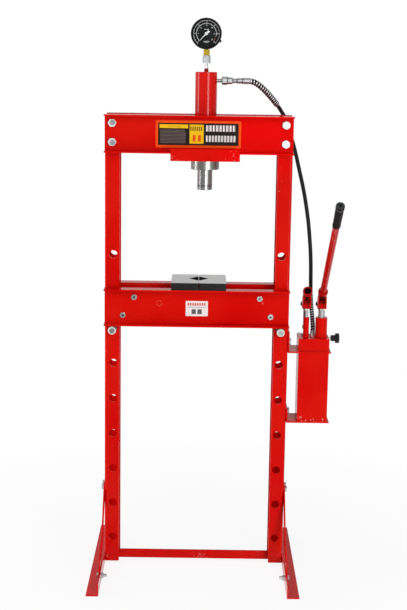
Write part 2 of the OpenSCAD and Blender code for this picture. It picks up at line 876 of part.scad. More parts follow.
module hose_union_nut() {
  color(ZINC) at_port() translate([0, 0, nipple_out]) intersection() {
    hex_prism(union_af, union_len);
    cylinder(d1 = union_af, d2 = union_af + 2 * union_len, h = union_len);
    translate([0, 0, -union_len])
      cylinder(d1 = union_af + 4 * union_len, d2 = union_af, h = 2 * union_len);
  }
}

function step_start(i) = i == 0 ? 0 : step_start(i - 1) + ferrule_steps[i - 1][0];

// Collar, neck, ribbed crimp and end of the ferrule on the hose's upper end
module hose_ferrule() {
  rib_pitch = 6;
  rib_h = 0.8;
  crimp = ferrule_steps[2];
  color(ZINC) translate([ferrule_x, 0, port_z]) facing_x(1) {
    hex_prism(ferrule_steps[0][1] * cos(30), ferrule_steps[0][0]);
    for (i = [1 : len(ferrule_steps) - 1])
      translate([0, 0, step_start(i)]) cylinder(d = ferrule_steps[i][1], h = ferrule_steps[i][0]);
    for (z = [rib_pitch / 3 : rib_pitch : crimp[0] - rib_pitch / 2])
      translate([0, 0, step_start(2) + z]) cylinder(d = crimp[1] + 2 * rib_h, h = rib_pitch / 2);
  }
}

// Point between p1 and p2 on a smooth curve through all four
function curve_point(p0, p1, p2, p3, t) =
  0.5 * (2 * p1 + (p2 - p0) * t + (2 * p0 - 5 * p1 + 4 * p2 - p3) * t * t
         + (3 * p1 - p0 - 3 * p2 + p3) * t * t * t);

function clamp_index(i, n) = max(0, min(n - 1, i));

// Two points for each stretch of the route, and its last point
function smooth(route) = [
  for (i = [0 : len(route) - 2], t = [0, 0.5])
    curve_point(route[clamp_index(i - 1, len(route))], route[i], route[i + 1],
                route[clamp_index(i + 2, len(route))], t),
  route[len(route) - 1]
];

function unit(v) = v / norm(v);

function part_of(list, from, to) = [for (i = [from : to]) list[i]];

// Direction of a path at point i, exact at ends where one is given
function tangent(path, i, first, last) =
  i == 0 && first != undef ? first :
  i == len(path) - 1 && last != undef ? last :
  unit(path[clamp_index(i + 1, len(path))] - path[clamp_index(i - 1, len(path))]);

function ring(centre, along, r, sides, side_axis) =
  let (u = unit(cross(along, side_axis)), v = cross(along, u))
  [for (k = [0 : sides - 1])
    centre + r * cos(360 * k / sides) * u + r * sin(360 * k / sides) * v];

// Round bar along a path
module sweep(path, r, sides, side_axis, first = undef, last = undef) {
  n = len(path);
  points = [for (i = [0 : n - 1])
    each ring(path[i], tangent(path, i, first, last), r, sides, side_axis)];
  faces = [
    [for (k = [0 : sides - 1]) k],
    for (i = [0 : n - 2], k = [0 : sides - 1])
      let (a = i * sides + k, b = i * sides + (k + 1) % sides)
      [a, a + sides, b + sides, b],
    [for (k = [sides - 1 : -1 : 0]) (n - 1) * sides + k]
  ];
  polyhedron(points, faces, convexity = 10);
}

// Tube along a path
module sweep_tube(path, r_out, r_in, sides, side_axis, first = undef, last = undef) {
  n = len(path);
  both = 2 * sides;
  points = [for (i = [0 : n - 1]) let (t = tangent(path, i, first, last))
    each concat(ring(path[i], t, r_out, sides, side_axis),
                ring(path[i], t, r_in, sides, side_axis))];
  faces = [
    for (k = [0 : sides - 1]) let (m = (k + 1) % sides)
      [k, m, sides + m, sides + k],
    for (i = [0 : n - 2], k = [0 : sides - 1])
      let (a = i * both + k, b = i * both + (k + 1) % sides)
      each [[a, a + both, b + both, b],
            [a + sides, b + sides, b + both + sides, a + both + sides]],
    for (k = [0 : sides - 1]) let (m = (k + 1) % sides, e = (n - 1) * both)
      [e + k, e + sides + k, e + sides + m, e + m]
  ];
  polyhedron(points, faces, convexity = 10);
}

hose_path = smooth(HOSE_ROUTE);
hose_first = [1, 0, 0];
hose_last = [0, 0, -1];
hose_side = [0, 1, 0];

module hose() {
  color(BLACK) sweep(hose_path, hose_d / 2, hose_sides, hose_side, hose_first, hose_last);
}

module hose_guard_upper() {
  color(DARK_STEEL) sweep_tube(part_of(hose_path, 0, guard_upper_steps), guard_upper_d / 2,
    hose_d / 2 + hose_gap, hose_sides, hose_side, hose_first);
}

module hose_guard_lower() {
  last = len(hose_path) - 1;
  color(STEEL) sweep_tube(part_of(hose_path, last - guard_lower_steps, last),
    guard_lower_d / 2, hose_d / 2 + hose_gap, hose_sides, hose_side, undef, hose_last);
}

module hose_fitting_lower() {
  top_z = HOSE_ROUTE[len(HOSE_ROUTE) - 1][2];
  color(ZINC) translate([hose_port[0], hose_port[1], head_top]) {
    hex_head(fitting_af, fitting_base_h);
    cylinder(d = fitting_d, h = top_z - head_top);
  }
}

// ---- Pump ----

module bracket(z, flange_h) {
  difference() {
    union() {
      translate([half_w, -bracket_d / 2, z]) cube([bracket_len, bracket_d, bracket_t]);
      translate([half_w, -post_face_y, z]) cube([bracket_t, post_d, flange_h]);
    }
    hole_x(half_w - cut_over, half_w + bracket_t + cut_over, 0, z + bracket_bolt_up,
           M12[0] + bolt_slack);
  }
}

// Upper bracket, with the hole that the pump draws its oil through
module pump_bracket_upper() {
  color(PAINT) difference() {
    bracket(pump_top_z, flange_upper_h);
    translate([tank_x + tank_w / 2, 0, pump_top_z - cut_over])
      cylinder(d = tank_w / 4, h = bracket_t + 2 * cut_over);
  }
}

module pump_bracket_lower() { color(PAINT) bracket(pump_z, flange_lower_h); }

module oil_tank() {
  corner = 4;
  color(PAINT) translate([tank_x + tank_w / 2, 0, pump_z + bracket_t])
    linear_extrude(tank_h) difference() {
      rounded_rect(tank_w, tank_d, corner);
      rounded_rect(tank_w - 2 * tank_t, tank_d - 2 * tank_t, corner - tank_t / 2);
    }
}

module pump_head() {
  corner = 2;
  color(PAINT) difference() {
    translate([head_x + head_w / 2, 0, head_z]) linear_extrude(head_h)
      rounded_rect(head_w, head_d, corner);
    hole_x(head_x + head_w - valve_in - cut_over, head_x + head_w + cut_over,
           valve_y, valve_z, valve_d + 2 * run_gap);
    translate([hose_port[0], hose_port[1], head_top - hose_hole_depth])
      cylinder(d = hose_hole_d, h = hose_hole_depth + cut_over);
    at_filler() translate([0, 0, -filler_in - side_gap])
      cylinder(d = filler_d + 2 * fixed_gap, h = filler_in + side_gap + cut_over);
  }
}

module at_filler() {
  translate([head_x + filler_place[0], filler_place[1], head_top]) children();
}

module filler_plug() {
  color(ZINC) at_filler() {
    hex_head(M10[1], filler_h);
    translate([0, 0, -filler_in]) cylinder(d = filler_d, h = filler_in + filler_h / 2);
  }
}

// Barrel with a lug at the rear for the fulcrum links' lower pin
module barrel(x, d, rod_d) {
  lug_z = pivot_z - link_len;
  lug_in = d / 2 - 2;
  color(PAINT) translate([x, 0, 0]) difference() {
    union() {
      translate([0, 0, head_top]) cylinder(d = d, h = barrel_h);
      translate([0, 0, lug_z]) across_x(2 * lug_half) {
        translate([lug_in, -link_r]) square([fulcrum_r - lug_in, 2 * link_r]);
        translate([fulcrum_r, 0]) circle(r = link_r);
      }
    }
    translate([0, 0, head_top + barrel_floor]) cylinder(d = rod_d + 2 * run_gap, h = barrel_h);
    hole_x(-lug_half - cut_over, lug_half + cut_over, fulcrum_r, lug_z,
           lever_pin_d + 2 * fixed_gap);
  }
}
barrel_floor = 1.5;

module barrel_small() { barrel(small_x, small_barrel_d, small_rod_d); }
module barrel_large() { barrel(large_x, large_barrel_d, large_rod_d); }

// Plunger: rod, flat eye, and the cross pin that drives it
module plunger(x, rod_d) {
  rod_top = pivot_z - eye_r - plunger_neck;
  pin_len = 2 * lever_out + 2 * side_gap;
  translate([x, 0, 0]) {
    translate([0, 0, head_top + plunger_low])
      cylinder(d = rod_d, h = rod_top - head_top - plunger_low);
    translate([0, 0, pivot_z]) across_x(eye_t) {
      circle(r = eye_r);
      translate([-small_rod_d / 2, rod_top - pivot_z - cut_over])
        square([small_rod_d, pivot_z - rod_top + cut_over]);
    }
    hole_x(-pin_len / 2, pin_len / 2, 0, pivot_z, lever_pin_d);
  }
}

module plunger_small() { color(CHROME) plunger(small_x, small_rod_d); }
module plunger_large() { color(CHROME) plunger(large_x, large_rod_d); }

// Pair of link bars between the plates of each lever
module fulcrum_links() {
  color(DARK_STEEL) for (x = [small_x, large_x], side = [-1, 1])
    translate([x + side * (link_in + link_t / 2), fulcrum_r, pivot_z - link_len])
      across_x(link_t) difference() {
        union() {
          translate([-link_r, 0]) square([2 * link_r, link_len]);
          for (z = [0, link_len]) translate([0, z]) circle(r = link_r);
        }
        for (z = [0, link_len]) translate([0, z]) circle(d = lever_pin_d + 2 * fixed_gap);
      }
}

// Headed pins at both ends of the fulcrum links
module lever_pins() {
  color(DARK_STEEL)
    for (x = [small_x, large_x], end = [[pivot_z - link_len, link_out], [pivot_z, lever_out]])
    translate([x, fulcrum_r, end[0]]) {
      reach = end[1] + run_gap;
      hole_x(-reach - pin_head_t, reach + pin_head_t, 0, 0, lever_pin_d);
      for (side = [-1, 1])
        translate([side * reach, 0, 0]) facing_x(side) cylinder(d = pin_head_d, h = pin_head_t);
    }
}

function socket_point(along, up) = socket_at + along * socket_dir + up * socket_up;

// Lever plate, drawn in Y and Z with the plunger pin at the origin
module lever_plate() {
  difference() {
    union() {
      slot_shape(lever_pin_d / 2 + slot_play + slot_rim);
      translate([fulcrum_r, 0]) circle(r = link_r);
      polygon([
        [-slot_out - eye_r, 0], socket_point(plate_reach, -socket_d / 2 + plate_inset),
        socket_point(plate_reach, 0), socket_point(-socket_back, 0),
        [fulcrum_r, link_r - plate_inset], [fulcrum_r, -link_r + plate_inset], [0, -eye_r]
      ]);
    }
    translate([fulcrum_r, 0]) circle(d = lever_pin_d + 2 * run_gap);
    slot_shape(lever_pin_d / 2 + slot_play);
  }
}

// Thick rim round the slot, on the inner face of a lever plate
module lever_boss() {
  difference() {
    slot_shape(lever_pin_d / 2 + slot_play + slot_rim);
    slot_shape(lever_pin_d / 2 + slot_play);
  }
}

// Shape with round ends that reaches out from the plunger pin
module slot_shape(r) {
  translate([-slot_out, -r]) square([slot_out, 2 * r]);
  for (y = [-slot_out, 0]) translate([y, 0]) circle(r = r);
}

module lever(x) {
  color(PAINT) translate([x, 0, pivot_z]) difference() {
    union() {
      for (side = [-1, 1]) {
        translate([side * (lever_in + plate_t / 2), 0, 0]) across_x(plate_t) lever_plate();
        translate([side * (boss_in + lever_in + plate_t / 2) / 2, 0, 0])
          across_x(lever_in + plate_t / 2 - boss_in) lever_boss();
      }
      along_socket(-socket_back) cylinder(d = socket_d, h = socket_len);
      along_socket(-socket_back + socket_len - collar_len) cylinder(d = collar_d, h = collar_len);
    }
    along_socket(-socket_back + socket_floor)
      cylinder(d = socket_bore, h = socket_len);
  }
}

// Puts its children's z axis on the socket's axis, at a distance along it
module along_socket(s) {
  p = socket_point(s, 0);
  translate([0, p[0], p[1]]) rotate([90 - lever_angle, 0, 0]) children();
}

module lever_small() { lever(small_x); }
module lever_large() { lever(large_x); }

handle_from = -socket_back + socket_floor;
module handle() {
  color(PAINT) translate([large_x, 0, pivot_z]) along_socket(handle_from) difference() {
    cylinder(d = handle_d, h = handle_len);
    translate([0, 0, -cut_over]) cylinder(d = handle_d - 2 * handle_t, h = handle_len + 2 * cut_over);
  }
}

// Moulded sleeve with a closed end that has a small vent
module handle_grip() {
  end_t = 4;
  vent_r = 4;
  r = grip_d / 2;
  in_r = handle_d / 2 + run_gap;
  edge = 2;
  color(BLACK) translate([large_x, 0, pivot_z])
    along_socket(handle_from + handle_len + end_t - grip_len) rotate_extrude() polygon([
      [in_r, 0], [r - edge, 0], [r, edge], [r, grip_len - 2 * edge], [r - 2 * edge, grip_len],
      [vent_r, grip_len], [vent_r, grip_len - end_t], [in_r, grip_len - end_t]
    ]);
}

module at_valve() {
  translate([head_x + head_w, valve_y, valve_z]) facing_x(1) children();
}

module valve_stem() {
  color(STEEL) at_valve() translate([0, 0, -valve_in + 2])
    cylinder(d = valve_d, h = valve_in + valve_gap + knob_len / 2);
}

// Knob: round hub and a head with six lobes
module valve_knob() {
  hub_len = knob_len / 2;
  lobes = 6;
  lobe_r = knob_d / 6.6;
  color(BLACK) at_valve() translate([0, 0, valve_gap]) difference() {
    union() {
      cylinder(d = knob_d * 0.62, h = hub_len + cut_over);
      translate([0, 0, hub_len]) cylinder(d = knob_d - 2 * lobe_r, h = knob_len - hub_len);
      for (k = [0 : lobes - 1]) rotate([0, 0, 360 * k / lobes])
        translate([knob_d / 2 - lobe_r, 0, hub_len + cut_over])
          cylinder(r = lobe_r, h = knob_len - hub_len - 2 * cut_over);
    }
    translate([0, 0, -cut_over])
      cylinder(d = valve_d + 2 * fixed_gap, h = hub_len + 3 * cut_over);
  }
}

// ---- Bed ----

module bed_beam(side) {
  color(PAINT) difference() {
    translate([0, side * bed_web_y, bed_z]) mirror([0, side > 0 ? 0 : 1, 0]) beam_channel();
    for (p = tie_places)
      hole_y(p[0], p[1], M10[0] + bolt_slack, side * bed_web_y - beam_t - cut_over,
             side * bed_web_y + beam_t + cut_over);
  }
}

module bed_beam_front() { bed_beam(-1); }
module bed_beam_rear() { bed_beam(1); }

module bed_spacers() {
  color(PAINT) for (p = tie_places)
    difference() {
      hole_y(p[0], p[1], spacer_d, -bed_web_y, bed_web_y);
      hole_y(p[0], p[1], M10[0] + bolt_slack, -bed_web_y - cut_over, bed_web_y + cut_over);
    }
}

module bed_tie_bolts() {
  color(ZINC) for (p = tie_places)
    translate([p[0], -bed_web_y - beam_t, p[1]]) facing_y(-1)
      hex_bolt(M10, 2 * (bed_web_y + beam_t) + M10[3] + thread_out);
}

module bed_tie_nuts() {
  color(ZINC) for (p = tie_places)
    translate([p[0], bed_web_y + beam_t, p[1]]) facing_y(1) hex_nut(M10);
}

// Plate with a V notch in the edge that faces the other plate
module press_plate(side) {
  edge_x = plate_gap / 2;
  color(DARK_STEEL) translate([plate_x, 0, bed_top]) linear_extrude(plate_h) difference() {
    translate([side * (edge_x + plate_w / 2), 0])
      rounded_rect(plate_w, plate_d, plate_corner_r);
    polygon([
      [-side * cut_over, notch_y - notch_len / 2], [side * edge_x, notch_y - notch_len / 2],
      [side * (edge_x + notch_depth), notch_y], [side * edge_x, notch_y + notch_len / 2],
      [-side * cut_over, notch_y + notch_len / 2]
    ]);
  }
}

module press_plate_left() { press_plate(-1); }
module press_plate_right() { press_plate(1); }

// Pin with chamfered ends, standing out evenly in front and behind
module bed_pin(side) {
  r = pin_d / 2;
  len = post_d + 2 * pin_reach;
  color(ZINC) translate([side * pin_x, len / 2, bed_pin_z]) facing_y(-1)
    rotate_extrude() polygon([
      [0, 0], [r - pin_chamfer, 0], [r, pin_chamfer], [r, len - pin_chamfer],
      [r - pin_chamfer, len], [0, len]
    ]);
}

module bed_pin_left() { bed_pin(-1); }
module bed_pin_right() { bed_pin(1); }

post_left();
post_right();
top_beam_front();
top_beam_rear();
cross_member();
foot_left();
foot_right();
foot_braces();
beam_bolts();
side_bolts();
frame_nuts();
ram_saddle();
cylinder_shell();  // cylinder
cylinder_gland();
ring_nut();
gauge_adaptor();
gauge_pipe();
gauge_nut();
gauge_stem();
gauge_case();
gauge_dial();
gauge_glass();
gauge_needle();
hose_nipple();
hose_union_nut();
hose_ferrule();
hose();
hose_guard_upper();
hose_guard_lower();
hose_fitting_lower();
pump_bracket_upper();
pump_bracket_lower();
oil_tank();
pump_head();
filler_plug();
barrel_small();
barrel_large();
fulcrum_links();
lever_pins();
lever_small();
lever_large();
handle();
handle_grip();
plunger_small();
plunger_large();
valve_stem();
valve_knob();
ram();
ram_nose();
piston_seal();
return_spring();
bed_beam_front();
bed_beam_rear();
bed_tie_bolts();
bed_tie_nuts();
bed_spacers();
press_plate_left();
press_plate_right();
bed_pin_left();
bed_pin_right();
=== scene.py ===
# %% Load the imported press
import json
import math
import random

import bmesh
import bpy
from mathutils import Matrix, Vector


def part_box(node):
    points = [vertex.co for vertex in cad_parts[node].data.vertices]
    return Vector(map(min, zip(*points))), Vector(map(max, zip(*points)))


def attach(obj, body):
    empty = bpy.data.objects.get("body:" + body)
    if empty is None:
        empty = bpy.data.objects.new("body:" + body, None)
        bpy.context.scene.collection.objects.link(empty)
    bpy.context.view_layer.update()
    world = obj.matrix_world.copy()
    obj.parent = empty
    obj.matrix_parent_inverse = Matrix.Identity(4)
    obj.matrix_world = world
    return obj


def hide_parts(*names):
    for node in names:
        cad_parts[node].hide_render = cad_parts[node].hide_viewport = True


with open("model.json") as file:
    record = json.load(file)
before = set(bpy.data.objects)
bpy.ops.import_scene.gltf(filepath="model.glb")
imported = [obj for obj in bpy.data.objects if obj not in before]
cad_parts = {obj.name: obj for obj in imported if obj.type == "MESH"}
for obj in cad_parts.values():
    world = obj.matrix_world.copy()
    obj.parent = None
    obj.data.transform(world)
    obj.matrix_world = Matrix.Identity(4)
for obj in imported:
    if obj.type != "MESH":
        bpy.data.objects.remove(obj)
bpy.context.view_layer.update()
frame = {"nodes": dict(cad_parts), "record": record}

nodes, scene = frame["nodes"], bpy.context.scene

# %% [markdown]
# # Camera
# A press is a tall frame with parallel posts, so a camera that looks down at it
# makes the posts lean together. The eye stands four metres in front, a little
# above the top beams, and looks down by ten degrees. A long lens keeps the
# proportions plain. The three axes are worked out from yaw, pitch and roll, and
# become the columns of the camera's matrix.

# %% Place the camera
eye = Vector((0.0131, -4.0032, 1.6708))
yaw, pitch, roll = 0.0025, -0.1776, 0.0148
ahead = Vector((math.sin(yaw) * math.cos(pitch), math.cos(yaw) * math.cos(pitch), math.sin(pitch)))
level = Vector((math.cos(yaw), -math.sin(yaw), 0))
upward = level.cross(ahead)
right = math.cos(roll) * level + math.sin(roll) * upward
up = math.cos(roll) * upward - math.sin(roll) * level

camera = bpy.data.objects.new("camera", bpy.data.cameras.new("camera"))
scene.collection.objects.link(camera)
camera.matrix_world = Matrix.Translation(eye) @ Matrix((right, up, -ahead)).transposed().to_4x4()
camera.data.lens = 73.2
camera.data.shift_x, camera.data.shift_y = -0.0011, -0.0308
camera.data.dof.use_dof = False
scene.camera = camera
print(f"camera {eye.length:.2f} m from the origin, lens {camera.data.lens:.1f} mm")

# %% [markdown]
# # Mesh pieces
# Blender has modifiers and primitives for most simple forms. Here each piece is
# made from its own list of points and faces instead, because a list keeps every
# ring under control: its radius, its place and how it meets its neighbour. One
# helper turns such lists into a clean object that rides on a body of the press:
# it merges points that lie on each other and turns all faces outwards.

# %% Make a mesh piece
def piece(name, points, faces, body, slot, stands_for=(), crease=35):
    """A mesh object on a body of the press. Edges over the crease angle stay sharp."""
    mesh = bpy.data.meshes.new(name)
    mesh.from_pydata([tuple(p) for p in points], [], faces)
    mesh.validate()
    whole = bmesh.new()
    whole.from_mesh(mesh)
    bmesh.ops.remove_doubles(whole, verts=whole.verts, dist=1e-7)
    bmesh.ops.recalc_face_normals(whole, faces=whole.faces)
    whole.to_mesh(mesh)
    whole.free()
    mesh.shade_smooth()
    mesh.set_sharp_from_angle(angle=math.radians(crease))
    made = bpy.data.objects.new(name, mesh)
    scene.collection.objects.link(made)
    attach(made, body)
    if stands_for:
        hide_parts(*stands_for)
    return made


# %% [markdown]
# # Swept and spun pieces
# The hose, its spring guards and every weld bead are one small ring drawn along a
# line, and the grip and the gauge's hub are one profile spun round an axis. Both
# are rings of points in a row, so they share how their faces are counted out.

# %% Faces between rings and between profiles
def tube_faces(rings, corners):
    """Faces between closed rings of points, and a face over each end."""
    faces = []
    for i in range(rings - 1):
        for k in range(corners):
            a, b = i * corners + k, i * corners + (k + 1) % corners
            faces.append((a, a + corners, b + corners, b))
    last = (rings - 1) * corners
    return faces + [tuple(range(corners)), tuple(reversed(range(last, last + corners)))]


def spun_faces(turns, count):
    """Faces between profiles of count points that stand round an axis."""
    faces = []
    for k in range(turns):
        for i in range(count - 1):
            a, b = k * count + i, (k + 1) % turns * count + i
            faces.append((a, b, b + 1, a + 1))
    return faces


# %% A ring drawn along a line, and several pieces as one
def sweep(line, radius, sides=12, side=Vector((0, 1, 0))):
    """Rings of points round a line, and their faces. The radius may differ from point to point."""
    points = []
    for i, at in enumerate(line):
        along = (line[min(i + 1, len(line) - 1)] - line[max(i - 1, 0)]).normalized()
        u = along.cross(side).normalized()
        v = along.cross(u)
        r = radius[i] if isinstance(radius, list) else radius
        for k in range(sides):
            a = math.tau * k / sides
            points.append(at + r * math.cos(a) * u + r * math.sin(a) * v)
    return points, tube_faces(len(line), sides)


def joined(parts):
    """Several sets of points and faces as one."""
    points, faces = [], []
    for part_points, part_faces in parts:
        faces += [tuple(i + len(points) for i in face) for face in part_faces]
        points += part_points
    return points, faces


# %% [markdown]
# # Hose
# A high-pressure hose is steel-braided rubber, stiff enough to stand out from its
# fitting before it bends. It leaves the cylinder level, passes behind the end of
# the top beams, hangs down beside the right post and turns straight down into
# the pump's head. The route is the same list of points as in the solid model,
# rounded by a curve that passes through all of them.

# %% Hose line
route = [Vector(p) / 1000 for p in [
    (161, 0, 1618), (178, 2, 1612), (198, 8, 1598), (216, 19, 1581), (233, 35, 1563),
    (248, 55, 1546), (260, 76, 1531), (271, 96, 1515), (281, 104, 1501), (292, 108, 1474),
    (301, 107, 1443), (310, 104, 1414), (319, 100, 1382), (331, 94, 1332), (341, 89, 1291),
    (350, 83, 1249), (358, 77, 1204), (365, 71, 1156), (370, 65, 1107), (374, 60, 1058),
    (376, 57, 1010), (377, 56, 965), (378, 56, 930), (379, 55, 910), (380, 53, 890),
    (382, 49, 868), (384, 43, 850), (385, 37, 834), (386, 32, 819), (386, 30, 804)]]


def smooth_line(route, steps):
    """Points on a curve through every point of the route."""
    line = []
    for i in range(len(route) - 1):
        p0, p1, p2, p3 = (route[max(0, min(len(route) - 1, i + k))] for k in (-1, 0, 1, 2))
        for t in (s / steps for s in range(steps)):
            line.append(0.5 * (2 * p1 + (p2 - p0) * t + (2 * p0 - 5 * p1 + 4 * p2 - p3) * t ** 2
                               + (3 * p1 - p0 - 3 * p2 + p3) * t ** 3))
    return line + [route[-1]]


hose_line = smooth_line(route, 4)
hose_length = sum((b - a).length for a, b in zip(hose_line, hose_line[1:]))
print(f"hose {hose_length:.3f} m from ferrule to fitting")

# %% Hose piece
# Under the guards the rubber is as thick as the guard leaves room for, so that no
# gap shows between the turns of the wire
upper_end, lower_start = 22, len(hose_line) - 26
hose_radius, under_upper, under_lower = 0.0065, 0.0094, 0.0072
hose_radii = [under_upper if i < upper_end - 1 else under_lower if i > lower_start else hose_radius
              for i in range(len(hose_line))]
hose = piece("hose_rubber", *sweep(hose_line, hose_radii, 24), "frame", "black_rubber", ["hose"])
print("hose:", len(hose.data.vertices), "vertices")

# %% [markdown]
# # Spring guards
# Where a hose leaves its fittings, a spring of flattened wire keeps it from
# kinking. The bright wire over black rubber gives the even stripes of both ends.
# A screw modifier would only wind round a straight axis, so the wire's centre is
# found by turning round the hose's own line while travelling along it.

# %% Wind the two guards
wire_half, wire_corners, steps_a_turn, tiny = 0.0016, 8, 18, 1e-9


def wound(line, radius, pitch, flat):
    """A wire wound round a line, as thick as flat times its width."""
    lengths = [0.0]
    for a, b in zip(line, line[1:]):
        lengths.append(lengths[-1] + (b - a).length)
    count, points = int(lengths[-1] / pitch * steps_a_turn), []
    for n in range(count + 1):
        gone = lengths[-1] * n / count
        i = min(len(line) - 2, max(j for j in range(len(line)) if lengths[j] <= gone + tiny))
        share = (gone - lengths[i]) / max(tiny, lengths[i + 1] - lengths[i])
        at, along = line[i].lerp(line[i + 1], share), (line[i + 1] - line[i]).normalized()
        u = along.cross(Vector((0, 1, 0))).normalized()
        turn = math.tau * n / steps_a_turn
        out = math.cos(turn) * u + math.sin(turn) * along.cross(u)
        for k in range(wire_corners):
            a = math.tau * k / wire_corners
            points.append(at + out * (radius + wire_half * flat * math.sin(a))
                          + along * wire_half * math.cos(a))
    return points, tube_faces(count + 1, wire_corners)


guard_upper = piece("guard_spring_upper", *wound(hose_line[:upper_end], 0.0095, 0.0086, 0.32),
                    "frame", "bare_steel", ["hose_guard_upper"], crease=60)
guard_lower = piece("guard_spring_lower", *wound(hose_line[lower_start:], 0.0074, 0.0080, 0.4),
                    "frame", "bare_steel", ["hose_guard_lower"], crease=60)
print("guards wound:", len(guard_upper.data.vertices), len(guard_lower.data.vertices), "vertices")

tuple(hose_line[0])

# %% [markdown]
# # Shader maths
# Finishes are built from masks and noises, which is arithmetic on sockets. Adding
# a Math node by hand for each sum hides the sum, so a small class wraps a socket
# and lets Python's own signs add the nodes. Numbers go through Math, vectors
# through Vector Math and colours through Mix. Every other node comes from
# `Wire.node`, which sets its settings first and its sockets after.

# %% A socket that takes part in sums
class Wire:
    """An output socket of a shader node."""

    def __init__(self, socket):
        self.socket, self.tree = socket, socket.id_data

    @classmethod
    def node(cls, tree, kind, settings=None, sockets=None, out=0):
        made = tree.nodes.new("ShaderNode" + kind)
        for name, value in (settings or {}).items():
            setattr(made, name, value)
        for name, value in (sockets or {}).items():
            if isinstance(value, Wire):
                tree.links.new(value.socket, made.inputs[name])
            else:
                made.inputs[name].default_value = value
        return cls(made.outputs[out])

    def _sum(self, operation, first, second):
        is_vector = any(isinstance(x, Wire) and x.socket.type == "VECTOR" for x in (first, second))
        return Wire.node(self.tree, "VectorMath" if is_vector else "Math", {"operation": operation},
                         {0: first, 1: second})

    def __add__(self, other): return self._sum("ADD", self, other)
    def __radd__(self, other): return self._sum("ADD", other, self)
    def __sub__(self, other): return self._sum("SUBTRACT", self, other)
    def __rsub__(self, other): return self._sum("SUBTRACT", other, self)
    def __mul__(self, other): return self._sum("MULTIPLY", self, other)
    def __rmul__(self, other): return self._sum("MULTIPLY", other, self)
    def __gt__(self, other): return self._sum("GREATER_THAN", self, other)
    def __lt__(self, other): return self._sum("LESS_THAN", self, other)
    def __mod__(self, other): return self._sum("FLOORED_MODULO", self, other)

    def length(self):
        return Wire.node(self.tree, "VectorMath", {"operation": "LENGTH"}, {0: self}, out="Value")

    def dot(self, axis):
        """How far a vector reaches along an axis of length 1."""
        return Wire.node(self.tree, "VectorMath", {"operation": "DOT_PRODUCT"}, {0: self, 1: axis},
                         out="Value")

    def part(self, letter):
        """One of a vector's three numbers."""
        return Wire.node(self.tree, "SeparateXYZ", None, {0: self}, out=letter)

    def between(self, low, high):
        """1 where the value lies between two numbers."""
        return (self > low) * (self < high)

    def ramp(self, low, high, to_low=0.0, to_high=1.0):
        """The value carried from one range to another, kept inside it."""
        return Wire.node(self.tree, "MapRange", {"clamp": True}, {
            "Value": self, "From Min": low, "From Max": high, "To Min": to_low, "To Max": to_high})

    def pick(self, zero, one):
        """A colour that is the first where this is 0 and the second where it is 1."""
        full = [c if isinstance(c, Wire) else (*c, 1) for c in (zero, one)]
        # The Mix node has several inputs named A and B: 6 and 7 are its colours
        return Wire.node(self.tree, "Mix", {"data_type": "RGBA"}, {0: self, 6: full[0], 7: full[1]}, out=2)


# %% [markdown]
# # Place on the press
# Every solid's mesh keeps its place in its vertices, so the Object coordinate of
# any piece is its place in the press at rest, in metres. That makes wear easy to
# put where it belongs, and it moves with the piece. Each finish starts from that
# place and ends in one Principled shader, whose plain numbers are set on it.

# %% Start and end of a finish
def begin(name):
    """A new material and the place on the press."""
    material = bpy.data.materials.new(name)
    material.use_nodes = True
    material.node_tree.nodes.clear()
    return material, Wire.node(material.node_tree, "TexCoord", out="Object")


def end(material, bump, depth, strength=0.3, **sockets):
    """Closes a finish with its shader. Words such as Base_Color name the sockets."""
    tree = material.node_tree
    values = {name.replace("_", " "): value if isinstance(value, (Wire, float, int)) else (*value, 1)
              for name, value in sockets.items()}
    values["Normal"] = Wire.node(tree, "Bump", None, {
        "Strength": strength, "Distance": depth, "Height": bump})
    shader = Wire.node(tree, "BsdfPrincipled", None, values)
    tree.links.new(shader.socket, tree.nodes.new("ShaderNodeOutputMaterial").inputs[0])
    return material


def noise(place, scale, detail=3.0, squash=(1, 1, 1)):
    """Cloudy noise from 0 to 1. A large squash makes thin marks across that axis."""
    return Wire.node(place.tree, "TexNoise", None,
                     {"Vector": place * squash, "Scale": scale, "Detail": detail})


def near(place, centre, radius):
    """1 close to a point, fading to 0 at the radius."""
    return (place - centre).length().ramp(radius * 0.5, radius, 1.0, 0.0)


# %% [markdown]
# # Red enamel
# The frame is sprayed with a thick glossy enamel. Up close it has a faint orange
# peel, it is a little duller in places where it was handled, and it has chipped to
# pale primer where parts were bolted or dropped together: at the feet, at the
# saddle's corners and on the pump. The chips are a noise cut off high, allowed
# only near those places; along the tank's lower seam the same pale dots are partly
# painted highlights on the weld bead. On the bed's front a thin broken pale ring is
# a painted highlight where an embossed ring stands out of the steel, and a small
# pale spot sits further right. The right part of the upper beam's web is painted
# lighter: a painted sheen.

# %% A sprayed paint
primer_and_glint, in_shadow, ring_highlight_tone = (0.72, 0.66, 0.62), (0.035, 0.004, 0.003), (0.85, 0.20, 0.14)


